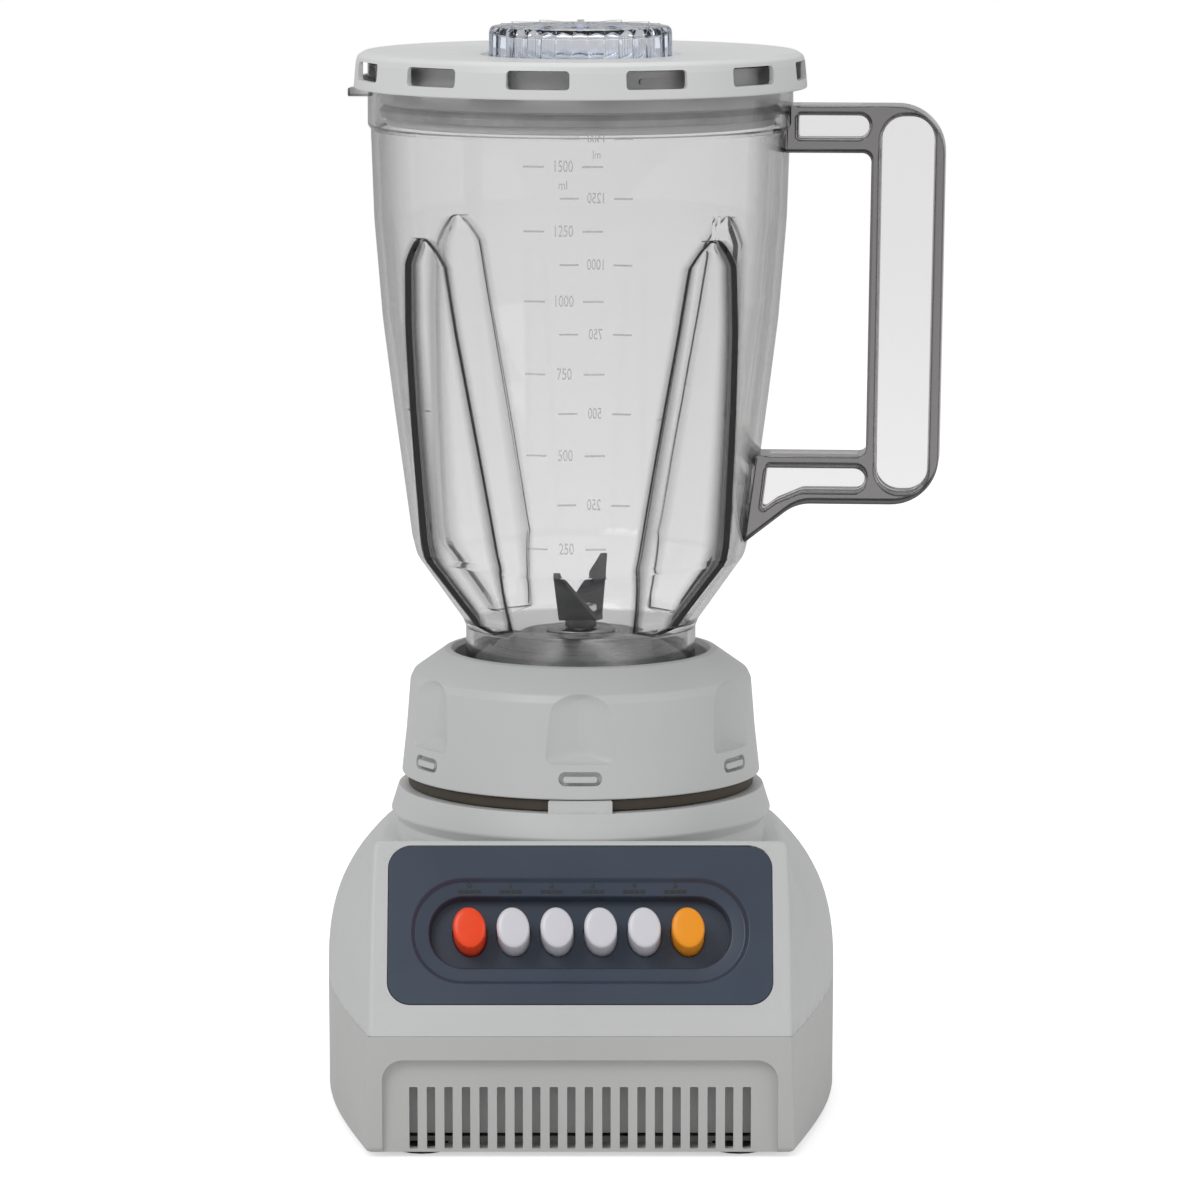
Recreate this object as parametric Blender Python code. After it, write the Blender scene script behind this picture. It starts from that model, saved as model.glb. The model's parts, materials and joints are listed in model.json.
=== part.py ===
"""Countertop blender: a motor base with six push keys, a screw-on jar with its blade unit, a lid and a cap.

Outlines are written in millimetres about the motor axis, with Z up from the table. make() scales every mesh
to metres. The assembly empty moves the motor axis so that the whole object is centred on the world origin.
"""

import math

import bmesh
import bpy
from mathutils import Matrix, Vector

MM = 0.001
TAU = 2 * math.pi
GAP = 0.3  # clearance between pieces that rest on each other

# Base
HOUSING_HALF = 86.8
FRONT_HALF = 69.0
REAR_HALF = 50.0
FRONT_Y = -94.0
WIDEST_Y = 25.0
REAR_Y = 86.0
SEAM_Z = 41.0
DECK_Z = 90.6
BROW_Y, BROW_Z = -66.0, 100.7
RAMP_END_Y = -40.0
WALL = 3.0
FLOOR_LOW, FLOOR_HIGH = 1.6, 5.0
STATIONS = (-94, -84, -70, -53, -33, -8, 25, 47, 64, 76, 83, 86)

# Seat for the jar
SEAT_RIM_Z = 108.6
SEAT_WELL_R = 56.3
TAB_ARC = math.radians(19.7)
COLLAR_FOOT_Z = 113.0
COLLAR_SIDES = 6

# Control panel, in its own frame: X right, Y up the slope, Z out of the slope
PANEL_TILT = math.atan2(BROW_Y - FRONT_Y, BROW_Z - SEAM_Z)
PANEL_Z = 73.0
PANEL_Y = FRONT_Y + (PANEL_Z - SEAM_Z) * math.tan(PANEL_TILT)
PANEL_HALF = 62.8
PANEL_LOW, PANEL_HIGH = -24.6, 28.6
TRAY_DEPTH = 7.0
TRAY_FLOOR = 9.0
KEY_COUNT = 6
KEY_PITCH = 14.3
KEY_FIRST_X = -36.2
KEY_HALF_X, KEY_HALF_Y = 5.35, 6.85
KEY_REACH = 5.6
KEY_LEAN = math.radians(8)
KEY_COLOURS = ("key_red", "key_white", "key_white", "key_white", "key_white", "key_amber")

# Jar
JAR_TURN = math.radians(-4.5)
JAR_WALL = 2.5
JAR_RIM_Z = 353.0
JAR_NECK_Z = 138.0
NECK_R = 38.8
BLADE_Z = 165.7
FLUTE_TOP_Z = 297.0
FLUTE_WIDE_Z = 188.0
FLUTE_END_Z = 163.0
ROUND_STEPS = 6  # facets of the round stretch between two flutes
JAR_PROFILE = (
    (71.0, JAR_RIM_Z), (71.0, 331.7), (70.0, 330.2), (69.0, 300.0),
    (66.3, 266.5), (62.8, 238.6), (56.8, 193.4), (55.2, 187.0), (39.8, 165.2), (NECK_R, 162.5),
    (NECK_R, JAR_NECK_Z),
)
HANDLE_REACH = 122.0
HANDLE_HALF = 10.0
WEB_HALF = 1.6

# Lid and cap
LID_LOW, LID_HIGH = 343.9, 356.0
LID_R_LOW, LID_R_HIGH = 75.7, 74.5
LID_DISH_Z = 354.9
CAP_SEAT_Z = 353.4
WINDOW_COUNT = 12
WINDOW_ARC = math.radians(16)
CAP_R = 30.6
CAP_LOW, CAP_HIGH = CAP_SEAT_Z + GAP, 365.0

# Motor axis in the world: half the difference between the handle's reach and the housing's half width
AXIS_X = (HOUSING_HALF - 122.4) / 2

COLOURS = {
    "housing_grey": ((0.62, 0.63, 0.63), 0.38, 0.0),
    "lower_grey": ((0.52, 0.53, 0.53), 0.42, 0.0),
    "panel_blue": ((0.075, 0.10, 0.13), 0.35, 0.0),
    "key_red": ((0.90, 0.10, 0.03), 0.30, 0.0),
    "key_white": ((0.80, 0.80, 0.81), 0.30, 0.0),
    "key_amber": ((0.95, 0.36, 0.03), 0.30, 0.0),
    "jar_clear": ((0.80, 0.81, 0.82), 0.05, 0.0),
    "cap_clear": ((0.80, 0.83, 0.87), 0.08, 0.0),
    "lid_grey": ((0.66, 0.67, 0.67), 0.35, 0.0),
    "brushed_steel": ((0.55, 0.55, 0.56), 0.28, 1.0),
    "blade_steel": ((0.20, 0.20, 0.21), 0.35, 1.0),
    "lamination_steel": ((0.35, 0.35, 0.36), 0.50, 1.0),
    "winding_copper": ((0.60, 0.25, 0.10), 0.40, 1.0),
    "bronze": ((0.55, 0.38, 0.18), 0.45, 1.0),
    "carbon": ((0.05, 0.05, 0.05), 0.60, 0.0),
    "black_rubber": ((0.035, 0.035, 0.035), 0.75, 0.0),
    "brown_rubber": ((0.11, 0.095, 0.080), 0.70, 0.0),
    "pale_rubber": ((0.42, 0.42, 0.42), 0.60, 0.0),
    "black_plastic": ((0.04, 0.04, 0.045), 0.45, 0.0),
    "white_plastic": ((0.75, 0.75, 0.72), 0.45, 0.0),
}


# Scene helpers

def clear_scene():
    for old in list(bpy.data.objects):
        bpy.data.objects.remove(old, do_unlink=True)


def make_material(name):
    colour, roughness, metallic = COLOURS[name]
    material = bpy.data.materials.new(name)
    material.use_nodes = True
    shader = material.node_tree.nodes["Principled BSDF"]
    shader.inputs["Base Color"].default_value = (*colour, 1.0)
    shader.inputs["Roughness"].default_value = roughness
    shader.inputs["Metallic"].default_value = metallic
    return material


def make_empty(name, parent=None, matrix=Matrix.Identity(4)):
    """An empty whose local matrix is given in millimetres."""
    empty = bpy.data.objects.new(name, None)
    bpy.context.scene.collection.objects.link(empty)
    empty.parent = parent
    empty.matrix_local = Matrix.Translation(matrix.translation * MM) @ matrix.to_3x3().to_4x4()
    return empty


def make(name, shape, material, parent):
    """One node: the shape's millimetre mesh in metres, with its material, under its parent."""
    bmesh.ops.scale(shape, vec=(MM, MM, MM), verts=shape.verts)
    mesh = bpy.data.meshes.new(name)
    shape.to_mesh(mesh)
    shape.free()
    mesh.materials.append(MATERIALS[material])
    mesh.shade_smooth()
    mesh.set_sharp_from_angle(angle=math.radians(32))
    node = bpy.data.objects.new(name, mesh)
    bpy.context.scene.collection.objects.link(node)
    node.parent = parent


# Outlines

def circle(radius, steps, z=0.0, centre=(0.0, 0.0)):
    angles = [TAU * i / steps for i in range(steps)]
    return [Vector((centre[0] + radius * math.cos(a), centre[1] + radius * math.sin(a), z)) for a in angles]


def ellipse(half_x, half_y, steps, z=0.0, lean=0.0):
    turn = Matrix.Rotation(lean, 3, "Z")
    return [
        turn @ Vector((half_x * math.cos(TAU * i / steps), half_y * math.sin(TAU * i / steps), z))
        for i in range(steps)
    ]


def filleted(corners, steps=4, z=0.0):
    """A closed outline through corners of (x, y, radius), each radius above 0 rounded by an arc."""
    outline = []
    for i, (x, y, radius) in enumerate(corners):
        here = Vector((x, y))
        if radius == 0:
            outline.append(Vector((x, y, z)))
            continue
        before = (Vector(corners[i - 1][:2]) - here).normalized()
        after = (Vector(corners[(i + 1) % len(corners)][:2]) - here).normalized()
        half = before.angle(after) / 2
        centre = here + (before + after).normalized() * radius / math.sin(half)
        start = here + before * radius / math.tan(half) - centre
        end = here + after * radius / math.tan(half) - centre
        sweep = math.pi - 2 * half
        for step in range(steps + 1):
            part = sweep * step / steps
            spoke = (start * math.sin(sweep - part) + end * math.sin(part)) / math.sin(sweep)
            outline.append(Vector((*(centre + spoke), z)))
    return outline


def rectangle(half_x, half_y, radius=0.0, centre=(0.0, 0.0), steps=4, z=0.0):
    x, y = centre
    corners = [
        (x - half_x, y - half_y, radius), (x + half_x, y - half_y, radius),
        (x + half_x, y + half_y, radius), (x - half_x, y + half_y, radius),
    ]
    return filleted(corners, steps, z)


def sector(inner, outer, middle, arc, steps, z=0.0):
    """An outline between two radii, spread evenly about the angle called middle."""
    angles = [middle - arc / 2 + arc * i / steps for i in range(steps + 1)]
    edge = [Vector((outer * math.cos(a), outer * math.sin(a), z)) for a in angles]
    return edge + [Vector((inner * math.cos(a), inner * math.sin(a), z)) for a in reversed(angles)]


# Solids, as bmesh meshes in millimetres

def loft(rings):
    """A closed solid through rings that have the same number of points."""
    shape = bmesh.new()
    rows = [[shape.verts.new(point) for point in ring] for ring in rings]
    for low, high in zip(rows, rows[1:]):
        for corner in zip(low, low[1:] + low[:1], high[1:] + high[:1], high):
            shape.faces.new(corner)
    shape.faces.new(rows[0][::-1])
    shape.faces.new(rows[-1])
    bmesh.ops.recalc_face_normals(shape, faces=shape.faces)
    return shape


def prism(outline, low, high):
    return loft([[Vector((p[0], p[1], z)) for p in outline] for z in (low, high)])


def box(low, high):
    outline = [(low[0], low[1]), (high[0], low[1]), (high[0], high[1]), (low[0], high[1])]
    return prism(outline, low[2], high[2])


def turned(profile, steps):
    """A closed profile of (radius, z) points spun about Z."""
    shape = bmesh.new()
    points = [shape.verts.new((radius, 0, z)) for radius, z in profile]
    edges = [
        shape.edges.new((a, b))
        for a, b in zip(points, points[1:] + points[:1])
        if a.co.x > 0 or b.co.x > 0
    ]
    bmesh.ops.spin(
        shape, geom=points + edges, cent=(0, 0, 0), axis=(0, 0, 1), angle=TAU, steps=steps, use_merge=True
    )
    bmesh.ops.remove_doubles(shape, verts=shape.verts, dist=1e-3)
    bmesh.ops.recalc_face_normals(shape, faces=shape.faces)
    return shape


def moved(shape, matrix):
    bmesh.ops.transform(shape, matrix=matrix, verts=shape.verts)
    return shape


def rod(radius, low, high, steps=16, centre=(0.0, 0.0)):
    return prism(circle(radius, steps, centre=centre), low, high)


def joined(shapes):
    """Several shapes that don't touch, as one mesh for a single Boolean."""
    together = bmesh.new()
    for shape in shapes:
        mesh = bpy.data.meshes.new("joined")
        shape.to_mesh(mesh)
        shape.free()
        together.from_mesh(mesh)
        bpy.data.meshes.remove(mesh)
    return together


def boolean(shape, other, operation):
    """The two shapes combined by Blender's exact Boolean, with leftover points merged."""
    pair = []
    for name, source in (("base", shape), ("tool", other)):
        mesh = bpy.data.meshes.new(name)
        source.to_mesh(mesh)
        source.free()
        item = bpy.data.objects.new(name, mesh)
        bpy.context.scene.collection.objects.link(item)
        pair.append(item)
    base, tool = pair
    step = base.modifiers.new("Step", "BOOLEAN")
    step.operation = operation
    step.object = tool
    step.solver = "EXACT"
    graph = bpy.context.evaluated_depsgraph_get()
    result = bpy.data.meshes.new_from_object(base.evaluated_get(graph))
    combined = bmesh.new()
    combined.from_mesh(result)
    bmesh.ops.remove_doubles(combined, verts=combined.verts, dist=1e-3)
    flat = math.radians(0.2)
    bmesh.ops.dissolve_limit(combined, angle_limit=flat, verts=combined.verts, edges=combined.edges)
    bmesh.ops.triangulate(combined, faces=combined.faces)
    bpy.data.meshes.remove(result)
    for item in pair:
        mesh = item.data
        bpy.data.objects.remove(item)
        bpy.data.meshes.remove(mesh)
    return combined


def cut(shape, *cutters):
    return boolean(shape, joined(cutters), "DIFFERENCE")


def fused(shape, *others):
    for other in others:
        shape = boolean(shape, other, "UNION")
    return shape


# Housing

def half_width(y):
    """The base's half width in plan: flaring from the front, then closing round the rear corners."""
    if y < WIDEST_Y:
        along = (y - FRONT_Y) / (WIDEST_Y - FRONT_Y)
        return FRONT_HALF + (HOUSING_HALF - FRONT_HALF) * math.sin(along * math.pi / 2)
    along = min(1.0, (y - WIDEST_Y) / (REAR_Y - WIDEST_Y))
    return REAR_HALF + (HOUSING_HALF - REAR_HALF) * math.sqrt(1 - along**2.4)


def frontness(y):
    """1 at the front face, 0 from the widest station back."""
    return max(0.0, (WIDEST_Y - y) / (WIDEST_Y - FRONT_Y))


def deck_height(y):
    if y < RAMP_END_Y:
        part = (y - BROW_Y) / (RAMP_END_Y - BROW_Y)
        return BROW_Z + (DECK_Z - BROW_Z) * part
    rear_round = 6.0
    past = max(0.0, y - (REAR_Y - rear_round))
    return DECK_Z - rear_round + math.sqrt(rear_round**2 - past**2)


def arch(y, shrink, foot_z):
    """One cross section of the upper housing, leaning back near the front."""
    lean = (BROW_Y - FRONT_Y) * frontness(y)
    top = deck_height(y + lean) - shrink
    wide = half_width(y) - shrink
    shoulder = 19.8 - 18.8 * frontness(y) ** 1.6
    side = []
    for rise in (0.0, 0.33, 0.57, 0.8):
        x = wide - shoulder * rise**2.75
        side.append((x, foot_z + (top - foot_z) * rise, 0))
    edge_radius = 3.5
    side.append((wide - shoulder, top, edge_radius))
    section = filleted([*side, *[(-x, z, radius) for x, z, radius in reversed(side)]], 2)
    centre_y = y * (1 - shrink / 90)
    slope = lean / (BROW_Z - SEAM_Z)
    return [Vector((x, centre_y + slope * (z - SEAM_Z), z)) for x, z, _ in section]


def upper_shell():
    outer = loft([arch(y, 0, SEAM_Z) for y in STATIONS])
    inner = loft([arch(y, WALL, SEAM_Z - 6) for y in STATIONS])
    return cut(outer, inner)


def plan(z, shrink=0.0, front_wall=0.0):
    """The base's outline at one height below the seam, where the front toes out and in a little."""
    below = (SEAM_Z - z) / SEAM_Z
    side = []
    for y in STATIONS:
        x = half_width(y) + (1.7 * frontness(y) - 0.4) * below - shrink
        depth = y * (1 - shrink / 90) + 2.0 * frontness(y) * below
        side.append((x, max(depth, FRONT_Y + front_wall)))
    return [Vector((x, y, z)) for x, y in side] + [Vector((-x, y, z)) for x, y in reversed(side)]


SCREW_SPOTS = ((-58.0, -62.0), (58.0, -62.0), (-48.0, 56.0), (48.0, 56.0))
FOOT_SPOTS = {
    "front_left": (-52.0, -78.0),
    "front_right": (52.0, -78.0),
    "rear_left": (-62.0, 46.0),
    "rear_right": (62.0, 46.0),
}
MOUNT_SPOTS = ((-31.0, -25.0), (31.0, -25.0), (-31.0, 25.0), (31.0, 25.0))
GLAND_SPOT = (-32.0, 22.0)


def panel_matrix():
    slope = Matrix.Rotation(math.radians(90) - PANEL_TILT, 4, "X")
    return Matrix.Translation((0, PANEL_Y, PANEL_Z)) @ slope


def seat_ring():
    """The turned ring that the jar stands on, with a flare and a groove below its rim."""
    return turned(
        [
            (SEAT_WELL_R, 89.4), (62.3, 89.4), (62.3, 95.2), (61.5, 96.7), (64.3, 100.3),
            (61.7, SEAT_RIM_Z), (SEAT_WELL_R, SEAT_RIM_Z),
        ],
        40,
    )


def upper_housing(parent):
    shape = upper_shell()
    shaft_boss = turned([(4.0, 88.6), (18.0, 88.6), (16.0, 95.0), (4.0, 95.0)], 24)
    tab_outline = sector(59.0, 61.6, -math.pi / 2, TAB_ARC, 6)
    front_tab = prism(tab_outline, SEAT_RIM_Z - 1.0, COLLAR_FOOT_Z - 0.4)
    posts = [rod(5.0, 80.2, 89.0, 8, spot) for spot in MOUNT_SPOTS]
    screw_posts = [rod(4.6, SEAM_Z + 0.6, deck_height(spot[1]) - 2.7, 8, spot) for spot in SCREW_SPOTS]
    shape = fused(shape, fused(seat_ring(), front_tab), shaft_boss, joined(posts), joined(screw_posts))
    panel_bed = prism(panel_outline(GAP), -1.7, 12.0)
    tray_hole = prism(rectangle(57.6, 19.9, 19.8, steps=6), -20.0, 0.0)
    shape = cut(shape, rod(9.6, 80.0, 99.0, 24), *[rod(2.3, 30.0, 56.0, 8, spot) for spot in SCREW_SPOTS])
    shape = cut(shape, moved(panel_bed, panel_matrix()))
    shape = cut(shape, moved(tray_hole, panel_matrix()))
    make("upper_housing", shape, "housing_grey", parent)


def front_recess():
    """The shallow bay in the front of the lower housing that the ventilation slots are cut in."""
    outline = filleted([(-64.6, -6, 0), (64.6, -6, 0), (64.6, 33.0, 7), (-64.6, 33.0, 7)], 4)
    back = Matrix.Translation((0, -90.6, 0)) @ Matrix.Rotation(math.radians(90), 4, "X")
    return moved(prism(outline, 0, 12), back)


def slot_row(count, pitch, width, low, high, y_low, y_high):
    first = -pitch * (count - 1) / 2
    return [
        box((first + pitch * i - width / 2, y_low, low), (first + pitch * i + width / 2, y_high, high))
        for i in range(count)
    ]


def lower_housing(parent):
    outer = loft([plan(FLOOR_LOW, 2.2), plan(FLOOR_LOW + 2.0), plan(SEAM_Z - GAP)])
    inner = loft([plan(FLOOR_HIGH, WALL, 7.0), plan(SEAM_Z + 3, WALL, 7.0)])
    shape = cut(outer, inner)
    posts = [rod(5.8, FLOOR_HIGH - 1.2, SEAM_Z - GAP, 10, spot) for spot in SCREW_SPOTS]
    shape = fused(shape, joined(posts))
    shape = cut(shape, front_recess())
    shape = cut(shape, *slot_row(20, 5.73, 2.75, 2.8, 23.4, -97.0, -82.0))
    shape = cut(shape, *slot_row(12, 5.0, 2.4, 12.0, 32.0, 78.0, 95.0)[5:])
    shape = cut(shape, *slot_row(9, 7.0, 3.0, 0.0, 8.0, -34.0, 34.0))
    shape = cut(shape, *[rod(2.3, 0.0, 50.0, 8, spot) for spot in SCREW_SPOTS])
    shape = cut(shape, *[rod(4.2, 0.0, FLOOR_HIGH - 0.6, 10, spot) for spot in SCREW_SPOTS])
    shape = cut(shape, *[rod(9.6, 0.0, FLOOR_LOW + 1.8, 16, spot) for spot in FOOT_SPOTS.values()])
    gland_hole = moved(rod(7.3, -20, 20), gland_matrix())
    make("lower_housing", cut(shape, gland_hole), "lower_grey", parent)


def gland_matrix():
    x, z = GLAND_SPOT
    return Matrix.Translation((x, REAR_Y, z)) @ Matrix.Rotation(math.radians(-90), 4, "X")


def cord_gland(parent):
    """The rubber bush that a mains lead would leave through, open along its middle."""
    bore = 4.1
    profile = [
        (bore, -6.0), (9.0, -6.0), (9.0, -3.4), (7.0, -3.4), (7.0, 0.4), (9.0, 0.4), (7.6, 8.0), (bore, 8.0),
    ]
    make("cord_gland", moved(turned(profile, 16), gland_matrix()), "black_rubber", parent)


def feet(parent):
    top = FLOOR_LOW + 1.5
    for name, (x, y) in FOOT_SPOTS.items():
        foot = turned([(0, 0), (8.2, 0), (9.0, 0.8), (9.0, top), (0, top)], 16)
        make(f"foot_{name}", moved(foot, Matrix.Translation((x, y, 0))), "black_rubber", parent)


def housing_screws(parent):
    head_top = FLOOR_HIGH - 0.6 - GAP
    for number, (x, y) in enumerate(SCREW_SPOTS, 1):
        profile = [(0, 2.0), (3.6, 2.0), (3.6, head_top), (1.9, head_top), (1.9, 54.0), (0, 54.0)]
        screw = moved(turned(profile, 8), Matrix.Translation((x, y, 0)))
        make(f"housing_screw_{number}", screw, "brushed_steel", parent)


# Control panel and keys

def panel_outline(grow=0.0):
    low, high = PANEL_LOW - grow, PANEL_HIGH + grow
    return rectangle(PANEL_HALF + grow, (high - low) / 2, 7.5 + grow, (0, (low + high) / 2), 5)


def control_panel(parent):
    plate = prism(panel_outline(), -1.4, 0.0)
    tray = prism(rectangle(57.2, 19.5, 19.4, steps=6), -TRAY_FLOOR, -0.7)
    shape = fused(plate, tray)
    rings = [(55.35, 17.8, 1.0), (54.0, 16.5, -1.6), (49.3, 12.1, -2.0), (48.9, 11.7, -TRAY_DEPTH)]
    recess = loft([rectangle(x, y, y - 0.1, steps=6, z=z) for x, y, z in rings])
    shape = cut(shape, recess)
    holes = []
    for x in key_places():
        hole = loft([ellipse(KEY_HALF_X + GAP, KEY_HALF_Y + GAP, 16, z, KEY_LEAN) for z in (-12.0, -5.0)])
        holes.append(moved(hole, Matrix.Translation((x, 0, 0))))
    shape = cut(shape, *holes)
    make("control_panel", shape, "panel_blue", parent)


def key_places():
    return [KEY_FIRST_X + KEY_PITCH * i for i in range(KEY_COUNT)]


def key_shape():
    """A push key: its rounded end, its flange behind the tray and its stem in the switch block."""
    bands = [
        (0.55, KEY_REACH),
        (0.86, KEY_REACH - 0.35),
        (1.0, KEY_REACH - 1.3),
        (1.0, -TRAY_FLOOR - GAP),
    ]
    rings = [ellipse(KEY_HALF_X * k, KEY_HALF_Y * k, 16, z, KEY_LEAN) for k, z in reversed(bands)]
    cap = loft(rings)
    flange = loft([ellipse(6.4, 8.2, 16, z, KEY_LEAN) for z in (-TRAY_FLOOR - 1.5, -TRAY_FLOOR - GAP)])
    stem = rod(3.2, -21.0, -TRAY_FLOOR - 1.0, 8)
    return fused(cap, flange, stem)


def keys(parent):
    for number, (x, colour) in enumerate(zip(key_places(), KEY_COLOURS)):
        seat = make_empty(f"key_{number}_slide", parent, Matrix.Translation((x, 0, 0)))
        make(f"key_{number}", key_shape(), colour, seat)


def switch_block(parent):
    """The switch body behind the keys, hung from the tray by a leg at each end."""
    face = -15.0
    half = 11.5
    body = box((-46.5, -half, -34.0), (46.5, half, face))
    legs = [
        box((side - 3.0, -half, face - 6.0), (side + 3.0, half, -TRAY_FLOOR - GAP)) for side in (-48.0, 48.0)
    ]
    shape = fused(body, joined(legs))
    shape = cut(shape, *[rod(3.8, -28.0, face + 2, 8, (x, 0)) for x in key_places()])
    make("switch_block", shape, "white_plastic", parent)


# Motor

SHAFT_BORE = 4.3  # every hole that the shafts turn in
BEARING_R = 6.7
COIL_Y = 22.8
BOLT_SPOTS = ((-31.0, 0.0), (31.0, 0.0))
FAN_FINS = 8
COUPLING_TEETH = 6


def gear_outline(inner, outer, teeth, z=0.0, share=0.5):
    """Blunt teeth between two radii; share is the part of each pitch that a tooth's tip takes."""
    outline = []
    pitch = TAU / teeth
    root, tip = share * 0.75, share * 0.5
    for tooth in range(teeth):
        for radius, offset in ((inner, -root), (outer, -tip), (outer, tip), (inner, root)):
            angle = (tooth + offset) * pitch
            outline.append(Vector((radius * math.cos(angle), radius * math.sin(angle), z)))
    return outline


def rotor_pieces(parent):
    shaft = turned([(0, 12.0), (3.6, 12.0), (4.0, 12.6), (4.0, 106.0), (0, 106.0)], 12)
    make("motor_shaft", shaft, "brushed_steel", parent)
    armature = cut(prism(gear_outline(16.5, 19.2, 12, share=0.62), 46.0, 71.0), rod(SHAFT_BORE, 40, 80))
    make("armature_core", armature, "lamination_steel", parent)
    commutator = turned([(SHAFT_BORE, 31.0), (11.0, 31.0), (11.0, 43.0), (SHAFT_BORE, 43.0)], 16)
    make("commutator", commutator, "winding_copper", parent)
    cooling_fan(parent)
    coupling = prism(gear_outline(9.4, 12.2, COUPLING_TEETH, share=0.5), 98.0, 109.0)
    coupling = fused(coupling, rod(14.0, 97.0, 99.0, 24))
    coupling = cut(coupling, rod(SHAFT_BORE, 90.0, 106.4))
    make("drive_coupling", coupling, "black_plastic", parent)


def cooling_fan(parent):
    fins = []
    for number in range(FAN_FINS):
        turn = Matrix.Rotation(TAU * number / FAN_FINS, 4, "Z")
        fins.append(moved(box((8, -0.8, 16.0), (25.6, 0.8, 24.0)), turn))
    hub = turned(
        [(SHAFT_BORE, 14.5), (26.0, 14.5), (26.0, 16.4), (10.0, 16.4), (10.0, 24.6), (SHAFT_BORE, 24.6)], 24
    )
    make("cooling_fan", fused(hub, joined(fins)), "black_plastic", parent)


def bolt_holes():
    return [rod(2.5, 10.0, 90.0, 8, spot) for spot in BOLT_SPOTS]


def motor_bracket(name, low, high, boss_low, boss_high, parent):
    """A plate across the motor, with a boss for the bearing and a window on each side of it."""
    shape = fused(prism(rectangle(37.0, 31.0, 8.0, steps=3), low, high), rod(11.0, boss_low, boss_high, 16))
    windows = [prism(rectangle(14.0, 6.0, 0, (0, 22.0 * end)), 10.0, 90.0) for end in (-1, 1)]
    shape = cut(shape, rod(BEARING_R + 0.4, 10.0, 90.0, 16), *bolt_holes(), *windows)
    make(name, shape, "lamination_steel", parent)


def bearings(parent):
    for name, low, high in (("bearing_upper", 74.0, 82.0), ("bearing_lower", 25.4, 30.0)):
        profile = [(SHAFT_BORE, low), (BEARING_R, low), (BEARING_R, high), (SHAFT_BORE, high)]
        make(name, turned(profile, 16), "bronze", parent)


def stator(parent):
    """The core and the two coils that stand in its corner pockets."""
    core = prism(rectangle(37.0, 31.0, 8.0, steps=3), 46.5, 70.5)
    pockets = [
        rod(3.9, 40, 80, 8, (17.8 * side, COIL_Y * end)) for side in (-1, 1) for end in (-1, 1)
    ]
    core = cut(core, rod(20.0, 40, 80, 24), *bolt_holes(), *pockets)
    make("stator_core", core, "lamination_steel", parent)
    for name, side in (("field_coil_front", -1), ("field_coil_rear", 1)):
        ring = prism(rectangle(20.0, 15.4, 4.0, (0, 58.5), 2), -2.2, 2.2)
        hole = prism(rectangle(15.8, 12.4, 1.0, (0, 58.5), 1), -5, 5)
        stand = Matrix.Translation((0, COIL_Y * side, 0)) @ Matrix.Rotation(math.radians(90), 4, "X")
        make(name, moved(cut(ring, hole), stand), "winding_copper", parent)


def brushes(parent):
    for name, turn in (("left", math.pi), ("right", 0.0)):
        spin = Matrix.Rotation(turn, 4, "Z")
        brush = box((11.3, -2.7, 34.2), (24.0, 2.7, 39.8))
        holder = cut(box((14.0, -4.4, 32.4), (27.0, 4.4, 41.6)), box((12.0, -3.0, 33.9), (25.0, 3.0, 40.1)))
        make(f"carbon_brush_{name}", moved(brush, spin), "carbon", parent)
        make(f"brush_holder_{name}", moved(holder, spin), "bronze", parent)


def motor_bolts(parent):
    for number, (x, y) in enumerate(BOLT_SPOTS, 1):
        bolt = turned([(0, 22.5), (3.8, 22.5), (3.8, 25.6), (2.0, 25.6), (2.0, 82.4), (0, 82.4)], 8)
        make(f"motor_bolt_{number}", moved(bolt, Matrix.Translation((x, y, 0))), "brushed_steel", parent)


def splash_seal(parent):
    profile = [
        (SHAFT_BORE, 86.0), (9.3, 86.0), (9.3, 95.3), (12.0, 95.3), (11.0, 96.6), (SHAFT_BORE, 96.6),
    ]
    make("splash_seal", turned(profile, 16), "black_rubber", parent)


def terminal_block(parent):
    block = box((-42.0, 62.0, FLOOR_HIGH + GAP), (-20.0, 74.0, 15.0))
    make("terminal_block", block, "white_plastic", parent)


def seat_gasket(parent):
    """The rubber ring between the seat's rim and the collar."""
    outer, step = 58.4, SEAT_RIM_Z + GAP
    well = SEAT_WELL_R - GAP
    top = COLLAR_FOOT_Z - GAP
    profile = [(52.0, 101.0), (well, 101.0), (well, step), (outer, step), (outer, top), (52.0, top)]
    make("seat_gasket", turned(profile, 32), "brown_rubber", parent)


def motor_pieces(parent):
    motor_bracket("motor_bracket_lower", 26.0, 28.5, 25.5, 29.5, parent)
    motor_bracket("motor_bracket_upper", 76.0, 79.6, 73.5, 82.5, parent)
    bearings(parent)
    stator(parent)
    brushes(parent)
    motor_bolts(parent)


# Jar base: collar, blade carrier and blade unit

def radial(turn):
    """Turns a shape drawn in X and Y with its depth along Z so that it faces out from the axis."""
    stand = Matrix.Rotation(math.radians(90), 4, "Z") @ Matrix.Rotation(math.radians(90), 4, "X")
    return Matrix.Rotation(turn, 4, "Z") @ stand


def grip_cutter(turn):
    """One finger hollow in the collar: a scoop with an arched top that reaches the shoulder."""
    half, low, high, arch_radius = 11.8, 125.0, 149.4, 10.0
    inner, outer, middle = 55.2, 70.0, 134.0
    corners = [(-half, low, 0), (half, low, 0), (half, high, arch_radius), (-half, high, arch_radius)]
    scoop = prism(filleted(corners, 3), inner, outer)
    for corner in scoop.verts:
        if corner.co.z < outer:
            corner.co.x *= 0.80
            corner.co.y = middle + (corner.co.y - middle) * 0.86
    return moved(scoop, radial(turn))


def slot_cutter(turn):
    outline = rectangle(7.3, 2.4, 2.3, (0, 119.9), 2)
    return moved(prism(outline, 58.4, 70.0), radial(turn))


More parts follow.
